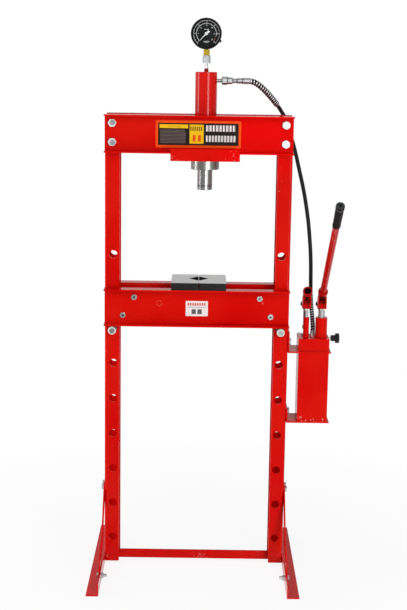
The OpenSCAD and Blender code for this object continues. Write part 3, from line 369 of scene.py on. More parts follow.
def enamel(name, colour, dull, wear_and_glint_at=(), coat=0.07, painted_sheen_at=(), ring_highlight_at=(), grime_and_shade_inside=None):
    """Sprayed paint. Worn places, some of them partly painted highlights, and places of
    painted sheen have a radius, and pale rings, painted highlights, have two. Where the
    mask for the inside is 1, the colour is nearly black: dark bare steel in a bore, and
    painted shade round it."""
    material, place = begin(name)
    cloud, peel, handled = noise(place, 5, 2), noise(place, 420, 2), noise(place, 34, 4)
    thin = [c * 0.94 for c in colour]
    thick = [c * 1.02 + extra for c, extra in zip(colour, (0, 0.006, 0.002))]
    paint = cloud.ramp(0.35, 0.65).pick(thin, thick)
    rough = handled.ramp(0.3, 0.8, dull * 0.8, dull * 1.5)
    # painted sheen: the paint is painted lighter on the upper beam's web, as if lit there
    for centre, radius in painted_sheen_at:
        paint = near(place, centre, radius).pick(paint, [c * 1.16 for c in colour])
    # nearly black inside a lever's socket: dark bare steel in the bore, painted shade at its mouth and in the
    # window under it
    if grime_and_shade_inside:
        paint = grime_and_shade_inside(place).pick(paint, in_shadow)
    # the pale dots are chips of the paint, and along the tank's lower seam partly painted highlights on the
    # weld bead
    if wear_and_glint_at:
        worn = sum(near(place, centre, radius) for centre, radius in wear_and_glint_at)
        chip_and_glint = (noise(place, 300, 2) + 0.07 * worn > 0.745) * (worn > 0.02)
        paint = chip_and_glint.pick(paint, primer_and_glint)
        rough = rough + chip_and_glint * 0.4
    # painted highlight: a paler broken ring where an embossed ring stands out of the steel
    for centre, inner, outer in ring_highlight_at:
        ring = (place - centre).length().between(inner, outer) * (noise(place, 260, 2) > 0.46)
        paint = (ring * 0.5).pick(paint, ring_highlight_tone)
    return end(material, peel, 0.00006, 0.2, Base_Color=paint, Roughness=rough,
               Specular_IOR_Level=0.04, Coat_Weight=coat, Coat_Roughness=0.07)


# %% Red enamel of the frame, the cylinder and the handle
# chips, except along the tank's lower seam, where the three places are partly painted highlights on the weld
# bead
chips_and_weld_glints = [
    ((-0.300, -0.040, 0.025), 0.05), ((0.300, -0.040, 0.025), 0.05), ((-0.29, -0.18, 0.02), 0.04),
    ((-0.085, -0.094, 1.370), 0.02), ((0.105, -0.094, 1.378), 0.03), ((0.340, -0.040, 0.778), 0.018),
    ((0.252, -0.040, 1.345), 0.022), ((0.252, -0.040, 1.31), 0.022), ((0.252, -0.040, 1.27), 0.02),
    ((0.350, -0.046, 0.512), 0.022), ((0.380, -0.046, 0.512), 0.022), ((0.410, -0.046, 0.512), 0.022),
    ((0.020, -0.002, 0.012), 0.03)]
worn_on_handle = [((0.404, -0.345, 1.187), 0.03), ((0.404, -0.312, 1.162), 0.022),
                  ((0.404, -0.118, 1.008), 0.02)]
# the bright place on the upper beam's web is a painted sheen, and the first ring on the bed is a painted
# highlight
red_enamel = enamel(
    "red_enamel", (0.655, 0.0012, 0.0005), 0.16, chips_and_weld_glints, painted_sheen_at=[((0.19, -0.094, 1.43), 0.17)],
    ring_highlight_at=[((-0.122, -0.0455, 0.902), 0.0078, 0.0096), ((0.214, -0.0455, 0.905), 0.0, 0.004)])
dark_enamel = enamel("dark_red_enamel", (0.33, 0.012, 0.01), 0.2)
glossy_enamel = enamel("cylinder_enamel", (0.66, 0.0012, 0.0005), 0.12, coat=0.38)
handle_enamel = enamel("handle_enamel", (0.50, 0.004, 0.002), 0.2, worn_on_handle, coat=0.25)
print("enamel chipped in", len(chips_and_weld_glints) + len(worn_on_handle), "places")

# %% [markdown]
# # Levers' sockets
# Each pump lever ends in a short tube that takes the handle, and its underside is
# open like a fork. Little light gets in there. The two places are found from the
# tube's own axis: how far a point lies along it, above it and away from it. Both are
# coloured nearly black: the bore is dark bare steel inside, its mask reaches a little
# past the bore onto the rim of the tube's mouth, which is painted shade, and the
# window in the underside is painted shade with some grease.

# %% Dark inside of the levers
handle_slope = math.radians(38)
handle_dir = Vector((0, -math.cos(handle_slope), math.sin(handle_slope)))
socket_up = Vector((0, math.sin(handle_slope), math.cos(handle_slope)))
# the bore's mask is wider than the bore, so the painted shade also covers the rim of the tube's mouth
socket_start, bore_radius = Vector((0, 0.010, 0.916)), 0.0119
large_x, small_x = 0.411, 0.361
large_half, small_half = 0.0078, 0.0055
window_below, window_start, window_end = -0.0085, 0.006, 0.0385


def from_axis(place, x):
    """The way from a socket's start, how far it reaches along the handle's axis, and the
    square of its distance from that axis."""
    way = place - (socket_start + Vector((x, 0, 0)))
    along = way.dot(handle_dir)
    return way, along, way.length() * way.length() - along * along


def inside_lever(x, half):
    """A mask for the bore of a lever's socket and the window in the socket's underside."""
    def mask(place):
        way, along, off_axis = from_axis(place, x)
        in_bore = off_axis < bore_radius ** 2
        in_window = way.part("X").between(-half, half) * (way.dot(socket_up) < window_below) \
            * along.between(window_start, window_end)
        return 1 - (1 - in_bore) * (1 - in_window)
    return mask


lever_finish = {
    lever: enamel(lever + "_enamel", (0.50, 0.002, 0.001), 0.18, coat=0.1, grime_and_shade_inside=inside_lever(x, half))
    for lever, x, half in (("lever_large", large_x, large_half), ("lever_small", small_x, small_half))}
print("levers painted:", ", ".join(lever_finish))

# %% [markdown]
# # Plated and bare metal
# Bolts, nuts and hose ends are zinc plated: bright, slightly uneven and a little
# warm in places. The ram is ground and hard chromed, so it carries fine rings from
# the grinding, and turned brass and steel keep their tool marks. A noise that is
# squashed along the axis makes such marks. Three kinds of part need more than
# that: the hose's fittings have painted shade in the grooves between their steps,
# some bolts have a stamped mark in the head, and the beam bolts' heads and the
# pins' ends have a dull middle and, on the face that looks forwards, a pale, less
# metallic rim that is a painted highlight, where the edge of the face catches the light.

# %% A metal
groove_half, face_radius, stamp_radius = 0.0013, 0.0146, 0.0058
groove_shade, stamp_dark = (0.05, 0.045, 0.04), (0.10, 0.10, 0.105)


def metal(name, colour, second, rough, grain, squash=(1, 1, 1), edge=0.3, grooves=(), stamps=(),
          faces=(), middle_radius=0.0, middle_colour=None, rim_highlight=None):
    """Bare or plated metal. Grooves are places along X, where painted shade lies, and
    stamps and faces are the middles of round end faces. Round a face's middle, the
    rim is a pale painted highlight."""
    material, place = begin(name)
    tone, lines = noise(place, 28, 4), noise(place, grain, 3, squash)
    plated, metallic = tone.ramp(0.35, 0.65).pick(colour, second), 1.0
    # painted shade in the grooves between a fitting's steps
    for x in grooves:
        plated = place.part("X").between(x - groove_half, x + groove_half).pick(plated, groove_shade)
    if stamps:
        mark = sum(near(place, centre, stamp_radius) for centre in stamps)
        plated = (mark * (noise(place, 420, 2) > 0.42)).pick(plated, stamp_dark)
    # painted highlight: a pale, less metallic rim round the darker middle of each face
    if faces:
        middle = sum(near(place, centre, middle_radius) for centre in faces)
        face = sum((place - centre).length() < face_radius for centre in faces)
        plated = middle.pick(face.pick(plated, rim_highlight), middle_colour)
        metallic = 1 - face * (1 - middle) * 0.85
    return end(material, lines, 0.00003, 0.35, Base_Color=plated, Metallic=metallic,
               Roughness=lines.ramp(0.25, 0.75, rough * 0.75, rough * 1.35), Specular_Tint=(edge, edge, edge))


# %% Plain metals
zinc_tones = (0.74, 0.78, 0.80), (0.56, 0.59, 0.60)
zinc = metal("zinc_plate", *zinc_tones, 0.3, 300)
chrome = metal("hard_chrome", (0.60, 0.61, 0.62), (0.52, 0.53, 0.55), 0.14, 60, (1, 1, 22))
steel = metal("bare_steel", (0.52, 0.52, 0.52), (0.42, 0.43, 0.45), 0.28, 260)
turned_steel = metal("turned_steel", (0.46, 0.48, 0.44), (0.34, 0.355, 0.33), 0.32, 60, (1, 1, 16))
spring_steel = metal("spring_steel", (0.86, 0.87, 0.86), (0.74, 0.75, 0.74), 0.34, 300, edge=0.8)
oxide = metal("dark_oxide_steel", (0.06, 0.062, 0.064), (0.035, 0.036, 0.039), 0.42, 240)
brass = metal("turned_brass", (0.80, 0.58, 0.06), (0.70, 0.48, 0.05), 0.22, 60, (1, 1, 18))
print("plain metals: 7")

# %% Metals with marks at measured places
tie_low, tie_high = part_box("bed_tie_bolts")
upper_tie_x, lower_tie_x, half_tie_head = 0.204, 0.2405, 0.0085
tie_marks = [(side * x, tie_low.y, z) for side in (-1, 1) for x, z in (
    (upper_tie_x, tie_high.z - half_tie_head), (lower_tie_x, tie_low.z + half_tie_head))]
stamped_zinc = metal("zinc_plate_stamped", (0.78, 0.80, 0.80), (0.62, 0.64, 0.64), 0.3, 300,
                     stamps=tie_marks)

# the dark grooves of the hose's fittings are painted shade between their steps
ferrule_start, union_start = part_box("hose_ferrule")[0].x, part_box("hose_union_nut")[0].x
ferrule_grooves = [union_start + 0.0005] + [ferrule_start + step for step in (0, 0.016, 0.030, 0.048)]
hose_zinc = metal("zinc_plate_hose_ends", (0.66, 0.68, 0.69), (0.50, 0.52, 0.53), 0.34, 300, edge=0.08,
                  grooves=ferrule_grooves)

# the beam bolts' heads get a painted highlight on the rim of their face
bolt_low, bolt_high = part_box("beam_bolts")
half_over_corners, half_over_flats = 0.01386, 0.012
bolt_heads = [(side * (bolt_high.x - half_over_corners), bolt_low.y, z) for side in (-1, 1)
              for z in (bolt_low.z + half_over_flats, bolt_high.z - half_over_flats)]
zinc_painted_rim = metal("zinc_plate_painted_rim", *zinc_tones, 0.32, 300, faces=bolt_heads, middle_radius=0.0115,
                    middle_colour=(0.50, 0.54, 0.58), rim_highlight=(0.80, 0.81, 0.82))

# the pins' ends get the same painted highlight on their rim
pin_boxes = [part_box(pin) for pin in ("bed_pin_left", "bed_pin_right")]
pin_ends = [((low.x + high.x) / 2, low.y, (low.z + high.z) / 2) for low, high in pin_boxes]
pin_steel = metal("pin_steel", (0.50, 0.54, 0.52), (0.36, 0.39, 0.38), 0.32, 90, faces=pin_ends,
                  middle_radius=0.0112, middle_colour=(0.42, 0.46, 0.42), rim_highlight=(0.72, 0.73, 0.68))
print(f"{len(tie_marks)} stamped heads, {len(bolt_heads)} dished heads, {len(pin_ends)} pin ends, "
      f"{len(ferrule_grooves)} grooves")

# %% [markdown]
# # Ram and plungers
# The ram ends in a nose that is screwed on, and a fine dark line shows where the
# two meet. The pump's plungers are ground rods, and the eye at the top of each was
# painted with the levers, so one finish covers the rod and the eye and changes at
# a height. The ground rod is set less than fully metallic, because a mirror as
# thin as this one would show nothing but the white room.

# %% Ground ram with the parting line of its nose
ram_finish, place = begin("ground_ram")
nose_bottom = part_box("ram_nose")[0].z
parting = place.part("Z").between(nose_bottom + 0.0128, nose_bottom + 0.0152)
rings = noise(place, 60, 3, (1, 1, 22))
ground = rings.ramp(0.35, 0.65).pick((0.44, 0.44, 0.44), (0.36, 0.365, 0.37))
end(ram_finish, rings, 0.00003, 0.35, Metallic=1.0, Specular_Tint=(0.3, 0.3, 0.3),
    Base_Color=parting.pick(ground, (0.03, 0.03, 0.03)), Roughness=rings.ramp(0.25, 0.75, 0.22, 0.38))
print(f"nose parts from the ram {nose_bottom + 0.014:.3f} m above the floor")

# %% Plungers with a painted eye
plunger_finish, place = begin("chrome_plunger_red_eye")
eye_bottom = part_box("barrel_large")[1].z + 0.0285
painted = place.part("Z") > eye_bottom
rings = noise(place, 60, 3, (1, 1, 22))
ground = rings.ramp(0.3, 0.7).pick((0.52, 0.54, 0.54), (0.40, 0.42, 0.42))
end(plunger_finish, rings, 0.00001, 0.1, Base_Color=painted.pick(ground, (0.52, 0.004, 0.002)),
    Metallic=(1 - painted) * 0.6, Roughness=0.38, Specular_IOR_Level=0.1, Specular_Tint=(0.22, 0.22, 0.22))
print(f"plungers painted above {eye_bottom:.3f} m")

# %% [markdown]
# # Press plates
# The two loose plates are cast and painted black on their sides, and their top
# faces are milled bright. The place itself tells them apart: everything in the
# plates' last 0.4 millimetres is bare metal with the marks of the cutter.

# %% Press plates' finish
black_cast, place = begin("black_cast_milled_top")
plate_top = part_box("press_plate_left")[1].z
bare = place.part("Z") > plate_top - 0.0004
marks, grit = noise(place, 38, 3, (1, 9, 1)), noise(place, 330, 4)
milled = marks.ramp(0.3, 0.7).pick((0.40, 0.405, 0.40), (0.50, 0.505, 0.50))
cast = grit.ramp(0.3, 0.7).pick((0.010, 0.010, 0.010), (0.020, 0.020, 0.021))
end(black_cast, grit, 0.00015, Base_Color=bare.pick(cast, milled), Metallic=bare * 0.75,
    Roughness=bare.ramp(0, 1, 0.4, 0.34), Specular_IOR_Level=0.15)
print(f"plates milled at {plate_top:.3f} m")

# %% [markdown]
# # Rubber, plastic, black paint and glass
# The hose has a satin rubber cover, a little cloudy in tone. The grip is softer and
# duller, and the valve's knob is moulded hard plastic. The gauge has a black
# stove-painted case, a matt dial and a plain glass. All of them are one recipe
# with other numbers: two near tones under a noise, and a very fine bump.

# %% Dark finishes and glass
def dark(name, colour, lighter, rough, scale, depth=0.00005):
    """A smooth dielectric: rubber, plastic, stove paint or ink."""
    material, place = begin(name)
    tone, fine = noise(place, scale, 4), noise(place, scale * 9, 2)
    return end(material, fine, depth, Base_Color=tone.ramp(0.3, 0.7).pick(colour, lighter),
               Roughness=tone.ramp(0.3, 0.7, rough * 0.85, rough * 1.2), Specular_IOR_Level=0.08)


hose_cover = dark("hose_cover", (0.010, 0.010, 0.010), (0.018, 0.018, 0.018), 0.36, 55)
grip_rubber = dark("grip_rubber", (0.010, 0.011, 0.011), (0.020, 0.021, 0.022), 0.45, 60, 0.0001)
knob_plastic = dark("knob_plastic", (0.012, 0.013, 0.013), (0.022, 0.023, 0.023), 0.32, 80)
case_paint = dark("case_black", (0.008, 0.008, 0.008), (0.014, 0.014, 0.014), 0.22, 50)
dial_face = dark("dial_face", (0.010, 0.013, 0.012), (0.014, 0.017, 0.016), 0.6, 70)
needle_paint = dark("needle_white", (0.80, 0.80, 0.79), (0.86, 0.86, 0.85), 0.4, 200)

glass, place = begin("gauge_glass")
end(glass, noise(place, 30, 1), 0.00002, 0.05, Roughness=0.02, IOR=1.45, Transmission_Weight=1.0,
    Alpha=0.07, Base_Color=noise(place, 9, 1).pick((0.90, 0.95, 0.93), (0.95, 0.97, 0.96)))
print("rubber, plastic, paint and glass: 7")

# %% [markdown]
# # Finishes on the solids
# The record names a material slot for every solid, and most solids take the finish
# of their slot. Those that carry marks, or a different paint, are named one by one.

# %% Give every solid its finish
by_slot = {
    "painted_red": red_enamel, "painted_dark_red": dark_enamel, "zinc_plated": zinc,
    "chrome": chrome, "bare_steel": steel, "dark_steel": oxide, "brass": brass,
    "black_paint": case_paint, "white_paint": needle_paint, "clear_glass": glass,
    "black_rubber": grip_rubber, "black_plastic": knob_plastic}
special = {
    "press_plate_left": black_cast, "press_plate_right": black_cast, "gauge_dial": dial_face,
    "plunger_large": plunger_finish, "plunger_small": plunger_finish, **lever_finish,
    "cylinder": glossy_enamel, "handle": handle_enamel, "gauge_pipe": steel,
    "hose_nipple": hose_zinc, "hose_union_nut": hose_zinc, "hose_ferrule": hose_zinc,
    "bed_tie_bolts": stamped_zinc, "beam_bolts": zinc_painted_rim,
    "bed_pin_left": pin_steel, "bed_pin_right": pin_steel,
    "ram": ram_finish, "ram_nose": ram_finish, "cylinder_gland": turned_steel, "ring_nut": turned_steel}
for row in frame["record"]["subparts"]:
    finish = special.get(row["node"], by_slot[row["material_slot"]])
    for place_of in nodes[row["node"]].material_slots:
        place_of.material = finish
for made, finish in ((hose, hose_cover), (guard_upper, spring_steel), (guard_lower, spring_steel)):
    made.data.materials.append(finish)
print(f"{len(nodes)} solids have a finish, {len(special)} of them their own")

# %% [markdown]
# # Gauge markings
# The dial's scale is printed in white: two arcs that run from lower left over the
# top to lower right, three strokes to each value and plain numbers inside. The
# inner arc ends in red. Printed ink has next to no thickness, but a tenth of a
# millimetre of real mesh stays crisp at any distance and needs no image. All of it
# is drawn on a flat disc first and then turned into the gauge's place.

# %% The gauge's own axes
gauge_at, gauge_turn = Vector((0.020, 0, 1.764)), math.radians(8)
gauge_axes = Matrix.Translation(gauge_at) @ Matrix.Rotation(-gauge_turn, 4, "Z") \
    @ Matrix.Rotation(math.radians(90), 4, "X")
dial_height, ink = 0.0095, 0.00012
print(f"gauge {gauge_at.z:.3f} m above the floor, turned {math.degrees(gauge_turn):.0f} degrees to the left")

# %% Flat prints on the dial
def on_dial(angle, radius):
    """A point on the dial, its angle in degrees clockwise from the top."""
    a = math.radians(angle)
    return Vector((radius * math.sin(a), radius * math.cos(a), 0))


def slab(outline):
    """A thin flat print with this outline, on the gauge's axes."""
    n = len(outline)
    points = [gauge_axes @ Vector((p.x, p.y, z)) for z in (dial_height, dial_height + ink) for p in outline]
    faces = [tuple(reversed(range(n))), tuple(range(n, 2 * n))]
    faces += [(k, (k + 1) % n, n + (k + 1) % n, n + k) for k in range(n)]
    return points, faces


def band(start, stop, inner, outer, step=3):
    """A ring-shaped strip between two angles."""
    count = max(1, round((stop - start) / step))
    angles = [start + (stop - start) * k / count for k in range(count + 1)]
    low, high = dial_height, dial_height + ink
    section = ((inner, low), (outer, low), (outer, high), (inner, high))
    points = [gauge_axes @ (on_dial(a, r) + Vector((0, 0, z))) for a in angles for r, z in section]
    return points, tube_faces(count + 1, len(section))


def stroke(angle, inner, outer, width):
    """A straight radial stroke."""
    out, across = on_dial(angle, 1.0), on_dial(angle + 90, 1.0)
    return slab([out * inner - across * width, out * outer - across * width,
                 out * outer + across * width, out * inner + across * width])


# %% Scale, strokes and plain lines
low, high, red_zone = -135, 135, 35
scale_parts = [band(low - 4, high + 4, 0.0405, 0.0416), band(low, high - red_zone, 0.0312, 0.0323)]
scale_parts += [stroke(a, 0.0392, 0.0405, 0.0004) for a in range(low, high + 1, 15)]
scale_parts += [stroke(a, 0.0303, 0.0312, 0.0003) for a in range(low, high + 1, 15)]
line_height = 0.0011
for half, y in ((0.0075, 0.0125), (0.0095, -0.0245), (0.006, -0.0275)):
    scale_parts.append(slab([Vector(p) for p in (
        (-half, y, 0), (half, y, 0), (half, y + line_height, 0), (-half, y + line_height, 0))]))
scale_marks = piece("dial_scale", *joined(scale_parts), "frame", "white_paint")
red_marks = piece("dial_red_zone", *band(high - red_zone, high, 0.0310, 0.0323), "frame", "painted_red")
print("dial:", len(scale_parts), "arcs, strokes and lines")

# %% Plain numbers
def number(value, angle, radius, height):
    """A printed number, as a mesh on the dial."""
    curve = bpy.data.curves.new("number", "FONT")
    curve.body, curve.size, curve.extrude = str(value), height, ink / 2
    curve.align_x, curve.align_y, curve.resolution_u = "CENTER", "CENTER", 3
    text = bpy.data.objects.new("number", curve)
    flat = bpy.data.meshes.new_from_object(text)
    at = on_dial(angle, radius) + Vector((0, 0, dial_height + ink / 2))
    points = [gauge_axes @ (v.co + at) for v in flat.vertices]
    faces = [tuple(p.vertices) for p in flat.polygons]
    bpy.data.objects.remove(text)
    return points, faces


values, apart = 7, 45
numbers = [number(5 * k, low + apart * k, 0.0252, 0.0050) for k in range(values)]
numbers += [number(10 * k, low + apart * k, 0.0361, 0.0048) for k in range(values)]
dial_numbers = piece("dial_numbers", *joined(numbers), "frame", "white_paint")
print(len(numbers), "numbers")

# %% [markdown]
# # Hub and vent plug
# The needle is pressed on its spindle by a small ring-shaped hub, and the case has
# a rubber plug that lets air out if the gauge bursts. Both are turned shapes, so a
# short profile spun round the gauge's axes makes them. The hub rides on the
# needle, so it turns with it.

# %% Ring hub of the needle and vent plug of the case
def turned(profile, axes, sides=48):
    """A turned piece: (radius, height) pairs in millimetres, spun round an axis."""
    points = []
    for k in range(sides):
        a = math.tau * k / sides
        points += [axes @ Vector((r / 1000 * math.cos(a), r / 1000 * math.sin(a), z / 1000))
                   for r, z in profile]
    return points, spun_faces(sides, len(profile))


hub_profile = [(0.0, 12.2), (2.2, 12.3), (2.4, 12.9), (4.6, 12.9), (5.0, 12.4), (5.0, 12.0), (0.0, 12.0)]
hub = piece("needle_hub", *turned(hub_profile, gauge_axes), "gauge_needle", "white_paint")
vent_out = on_dial(118, 1.0)
vent_axes = gauge_axes @ Matrix.Translation(vent_out * 0.0455 + Vector((0, 0, -0.004))) \
    @ vent_out.to_track_quat("Z", "Y").to_matrix().to_4x4()
vent_profile = [(0.0, -1.0), (4.4, -1.0), (4.4, 3.6), (3.8, 5.2), (2.0, 6.2), (0.0, 6.4)]
vent = piece("case_vent_plug", *turned(vent_profile, vent_axes, 24), "frame", "black_rubber")
print("hub and vent plug:", len(hub.data.vertices) + len(vent.data.vertices), "vertices")

# %% Ink of the dial
red_ink = dark("dial_red_ink", (0.26, 0.06, 0.055), (0.32, 0.09, 0.08), 0.5, 200)
white_ink = dark("dial_white_ink", (0.80, 0.81, 0.80), (0.88, 0.89, 0.88), 0.5, 200)
for made, finish in ((scale_marks, white_ink), (dial_numbers, white_ink), (red_marks, red_ink),
                     (hub, needle_paint), (vent, grip_rubber)):
    made.data.materials.append(finish)
print("gauge printed and fitted")

# %% [markdown]
# # Label and sticker
# The top beam carries a long printed panel and the bed a small white one. Both are
# thin foil on the steel, so each is a sheet of mesh with round corners and a soft
# front edge. Their print is generic here: coloured fields, bars in place of words
# and fine lines in place of small print. Each field is a box in the foil's own
# place, so the whole print is a sum of comparisons.

# %% Foil pieces
foil_thick, web_behind_edge = 0.0004, 0.043


def foil(name, x0, x1, z0, z1, front, corner, body):
    """A thin sheet with round corners and a soft front edge on a wall that faces the front."""
    outline = []
    for cx, cz, start in ((x1 - corner, z1 - corner, 0), (x0 + corner, z1 - corner, 90),
                          (x0 + corner, z0 + corner, 180), (x1 - corner, z0 + corner, 270)):
        outline += [(cx, cz, math.radians(start + a)) for a in range(0, 91, 15)]
    points = []
    for inset, y in ((0, 0), (0, foil_thick * 0.6), (foil_thick * 0.5, foil_thick)):
        points += [Vector((cx + (corner - inset) * math.cos(a), front - y,
                           cz + (corner - inset) * math.sin(a))) for cx, cz, a in outline]
    return piece(name, points, tube_faces(3, len(outline)), body, "white_paint")


beam_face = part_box("top_beam_front")[0].y + web_behind_edge
bed_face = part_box("bed_beam_front")[0].y + web_behind_edge
label = foil("beam_label", -0.138, 0.133, 1.4065, 1.4925, beam_face, 0.003, "frame")
sticker = foil("bed_sticker", -0.036, 0.036, 0.861, 0.911, bed_face, 0.002, "bed")
print(f"foils on y {beam_face:.4f} and {bed_face:.4f}")

# %% Masks of a print
def masks(place):
    """The two masks that a print is made of: a field, and a row of bars, both in millimetres."""
    x, z = place.part("X"), place.part("Z")

    def field(x0, x1, z0, z1):
        """1 inside a rectangle."""
        return x.between(x0 / 1000, x1 / 1000) * z.between(z0 / 1000, z1 / 1000)

    def bars(x0, x1, z0, z1, pitch, share, gaps=None):
        """Bars that stand in place of letters, and may have gaps at a second pitch."""
        from_start = x - x0 / 1000
        teeth = (from_start % (pitch / 1000)) < pitch * share / 1000
        if gaps:
            teeth = teeth * ((from_start % (gaps / 1000)) > 0.18 * gaps / 1000)
        return field(x0, x1, z0, z1) * teeth

    return field, bars


def lines(place, bottom, pitch, height):
    """Fine lines that stand in place of small print."""
    return ((place.part("Z") - bottom) % pitch) < height


# %% Print of the label
label_print, place = begin("label_print")
field, bars = masks(place)
orange, black, yellow = (0.90, 0.085, 0.005), (0.018, 0.012, 0.010), (0.88, 0.55, 0.01)
brown, grey, ink_dark = (0.55, 0.30, 0.02), (0.16, 0.13, 0.12), (0.04, 0.02, 0.01)
red, white = (0.80, 0.10, 0.005), (0.88, 0.86, 0.85)
line_length = 0.070 + 0.022 * noise(place, 60, 0, (0.01, 0.01, 1))
small_print = field(-124, -40, 1421, 1465) * lines(place, 1.4212, 0.0044, 0.0021) \
    * (place.part("X") + 0.124 < line_length)
tone = orange
for mask, colour in (
        (field(-130.5, 125, 1414.5, 1484.5), black), (field(-126, -35, 1468, 1480), yellow),
        (bars(-99, -59, 1472, 1476, 5.2, 0.6), brown), (small_print, grey),
        (field(-30.5, 14.3, 1420, 1480), yellow), (bars(-28, 12, 1460, 1474, 6.6, 0.5), ink_dark),
        (bars(-23.5, 7.5, 1427, 1447, 17, 0.72, 17), red),
        (bars(21, 115, 1459, 1478.5, 10.6, 0.74, 5.3), white),
        (bars(21, 117, 1426, 1446, 9.7, 0.74, 4.85), white)):
    tone = mask.pick(tone, colour)
end(label_print, noise(place, 500, 2), 0.00003, 0.2, Base_Color=tone,
    Roughness=noise(place, 40, 3).ramp(0.3, 0.7, 0.26, 0.4), Specular_IOR_Level=0.1)
label.data.materials.append(label_print)
print("label printed")

# %% Print of the bed's sticker
sticker_print, place = begin("sticker_print")
field, bars = masks(place)
tone = bars(-30, 30, 896, 905, 7.6, 0.66).pick((0.86, 0.85, 0.84), (0.62, 0.06, 0.03))
small_print = field(-30, 30, 889, 892.4) * lines(place, 0.889, 0.0022, 0.001)
tone = small_print.pick(tone, (0.3, 0.3, 0.3))
tone = bars(-17, 17, 868, 884, 19, 0.75).pick(tone, (0.10, 0.10, 0.11))
end(sticker_print, noise(place, 500, 2), 0.00003, 0.2, Base_Color=tone,
    Roughness=noise(place, 40, 3).ramp(0.3, 0.7, 0.3, 0.45), Specular_IOR_Level=0.4)
sticker.data.materials.append(sticker_print)
print("sticker printed")

# %% [markdown]
# # Weld beads
# The frame is bolted, but the pump, the feet and the barrels are welded. A bead is
# a row of overlapping ripples, so it is swept along its seam with a radius that
# rises and falls by a tenth every two or three millimetres. It is painted with
# the rest.

# %% A bead along a line, and one round a barrel
ripple, wobble = 0.0026, 0.12


def bead(corners, size):
    """A rippled bead along a line through corners in millimetres."""
    line = [Vector(c) / 1000 for c in corners]
    rng = random.Random(len(line) * 7 + int(size * 1e5))
    length = sum((b - a).length for a, b in zip(line, line[1:]))
    count = max(6, int(length / ripple * 4))
    points = []
    for k in range(count + 1):
        s = (len(line) - 1) * k / count
        i = min(len(line) - 2, int(s))
        points.append(line[i].lerp(line[i + 1], s - i))
    radii = [size * (1 - wobble / 2 + wobble * abs(math.sin(math.pi * k / 4)) + rng.uniform(-0.03, 0.03))
             * min(1, 0.35 + 0.22 * min(k, count - k)) for k in range(count + 1)]
    runs_back = abs((line[-1] - line[0]).normalized().y) >= 0.9
    return sweep(points, radii, 8, Vector((0, 0, 1) if runs_back else (0, 1, 0)))


def round_bead(x, z, radius, size):
    """A bead round an upright barrel, its place in millimetres."""
    turn = [math.radians(a) for a in range(0, 361, 6)]
    line = [Vector((x + radius * math.cos(a), radius * math.sin(a), z)) / 1000 for a in turn]
    radii = [size * (0.9 + 0.2 * abs(math.sin(math.pi * k / 2))) for k in range(len(line))]
    return sweep(line, radii, 8, Vector((0, 0, 1)))


# %% Weld beads along the seams
tank_x, foot_x, post_half = (337, 433), (252.6, 299), 40
pump_seams = [bead([(x, y, z) for x in tank_x], size) for y, z, size in (
    (-46.2, 512.8, 0.0026), (46.2, 512.8, 0.0026), (-46.2, 742.2, 0.0022), (46.2, 742.2, 0.0022),
    (-41.2, 748.8, 0.0022))]
pump_seams += [round_bead(361, 789.4, 10.1, 0.0016), round_bead(411, 789.6, 19.9, 0.0022)]
foot_seams = [bead([(side * 300.6, back * (post_half + 0.4), z) for z in (15, 39.4)], 0.0024)
              for side in (-1, 1) for back in (-1, 1)]
foot_seams += [bead([(side * x, back * (post_half + 0.2), 14.4) for x in foot_x], 0.0016)
               for side in (-1, 1) for back in (-1, 1)]
pump_beads = piece("pump_weld_beads", *joined(pump_seams), "frame", "painted_red")
foot_beads = piece("foot_weld_beads", *joined(foot_seams), "frame", "painted_red")
for made in (pump_beads, foot_beads):
    made.data.materials.append(red_enamel)
print("beads:", len(pump_beads.data.polygons) + len(foot_beads.data.polygons), "faces")

# %% [markdown]
# # Grip
# The handle's grip is a moulded rubber sleeve, pushed over the tube. It has
# shallow flutes along its length, a thicker rim near its end and a small hole in
# that end, where the air leaves when it is pushed on. The sleeve is a spun profile
# whose radius is cut back round the axis where the flutes run.

# %% Handle grip
# Profile: radius, distance along the handle from the socket's start, and share of the flutes' depth
grip_start, grip_end, vent_radius = 467, 582, 4.1
grip_profile = [(10.9, grip_start, 0), (12.0, grip_start, 0), (12.6, grip_start + 1.5, 0),
                (12.7, grip_start + 6, 0), (12.3, grip_start + 8, 1), (12.3, grip_start + 40, 1),
                (12.7, grip_start + 70, 1), (12.8, grip_end - 20, 1), (12.9, grip_end - 16, 1),
                (13.5, grip_end - 14, 0), (13.5, grip_end - 5, 0), (13.1, grip_end - 2, 0),
                (12.2, grip_end - 0.7, 0), (4.4, grip_end - 0.2, 0), (3.9, grip_end - 0.7, 0),
                (3.7, grip_end - 3.9, 0), (0.01, grip_end - 3.95, 0)]
handle_axes = Matrix.Translation(socket_start + Vector((large_x, 0, 0))) \
    @ handle_dir.to_track_quat("Z", "Y").to_matrix().to_4x4()
grip_sides, flutes, flute_depth = 96, 16, 0.45
points = []
for k in range(grip_sides):
    a = math.tau * k / grip_sides
    flute = flute_depth * max(0.0, math.cos(a * flutes)) ** 2
    points += [handle_axes @ Vector(((r - flute * share) * math.cos(a) / 1000,
                                     (r - flute * share) * math.sin(a) / 1000, s / 1000))
               for r, s, share in grip_profile]
grip = piece("grip_sleeve", points, spun_faces(grip_sides, len(grip_profile)), "handle", "black_rubber",
             ["handle_grip"])
print("grip:", len(grip.data.vertices), "vertices")

# %% Rubber of the grip, worn at its end, with painted shade in its vent hole
grip_finish, place = begin("grip_rubber_with_worn_end")
along, off_axis = from_axis(place, large_x)[1:]
worn_end = along > (grip_end - 1.6) / 1000
rim = along.between((grip_end - 15) / 1000, (grip_end - 12.5) / 1000)
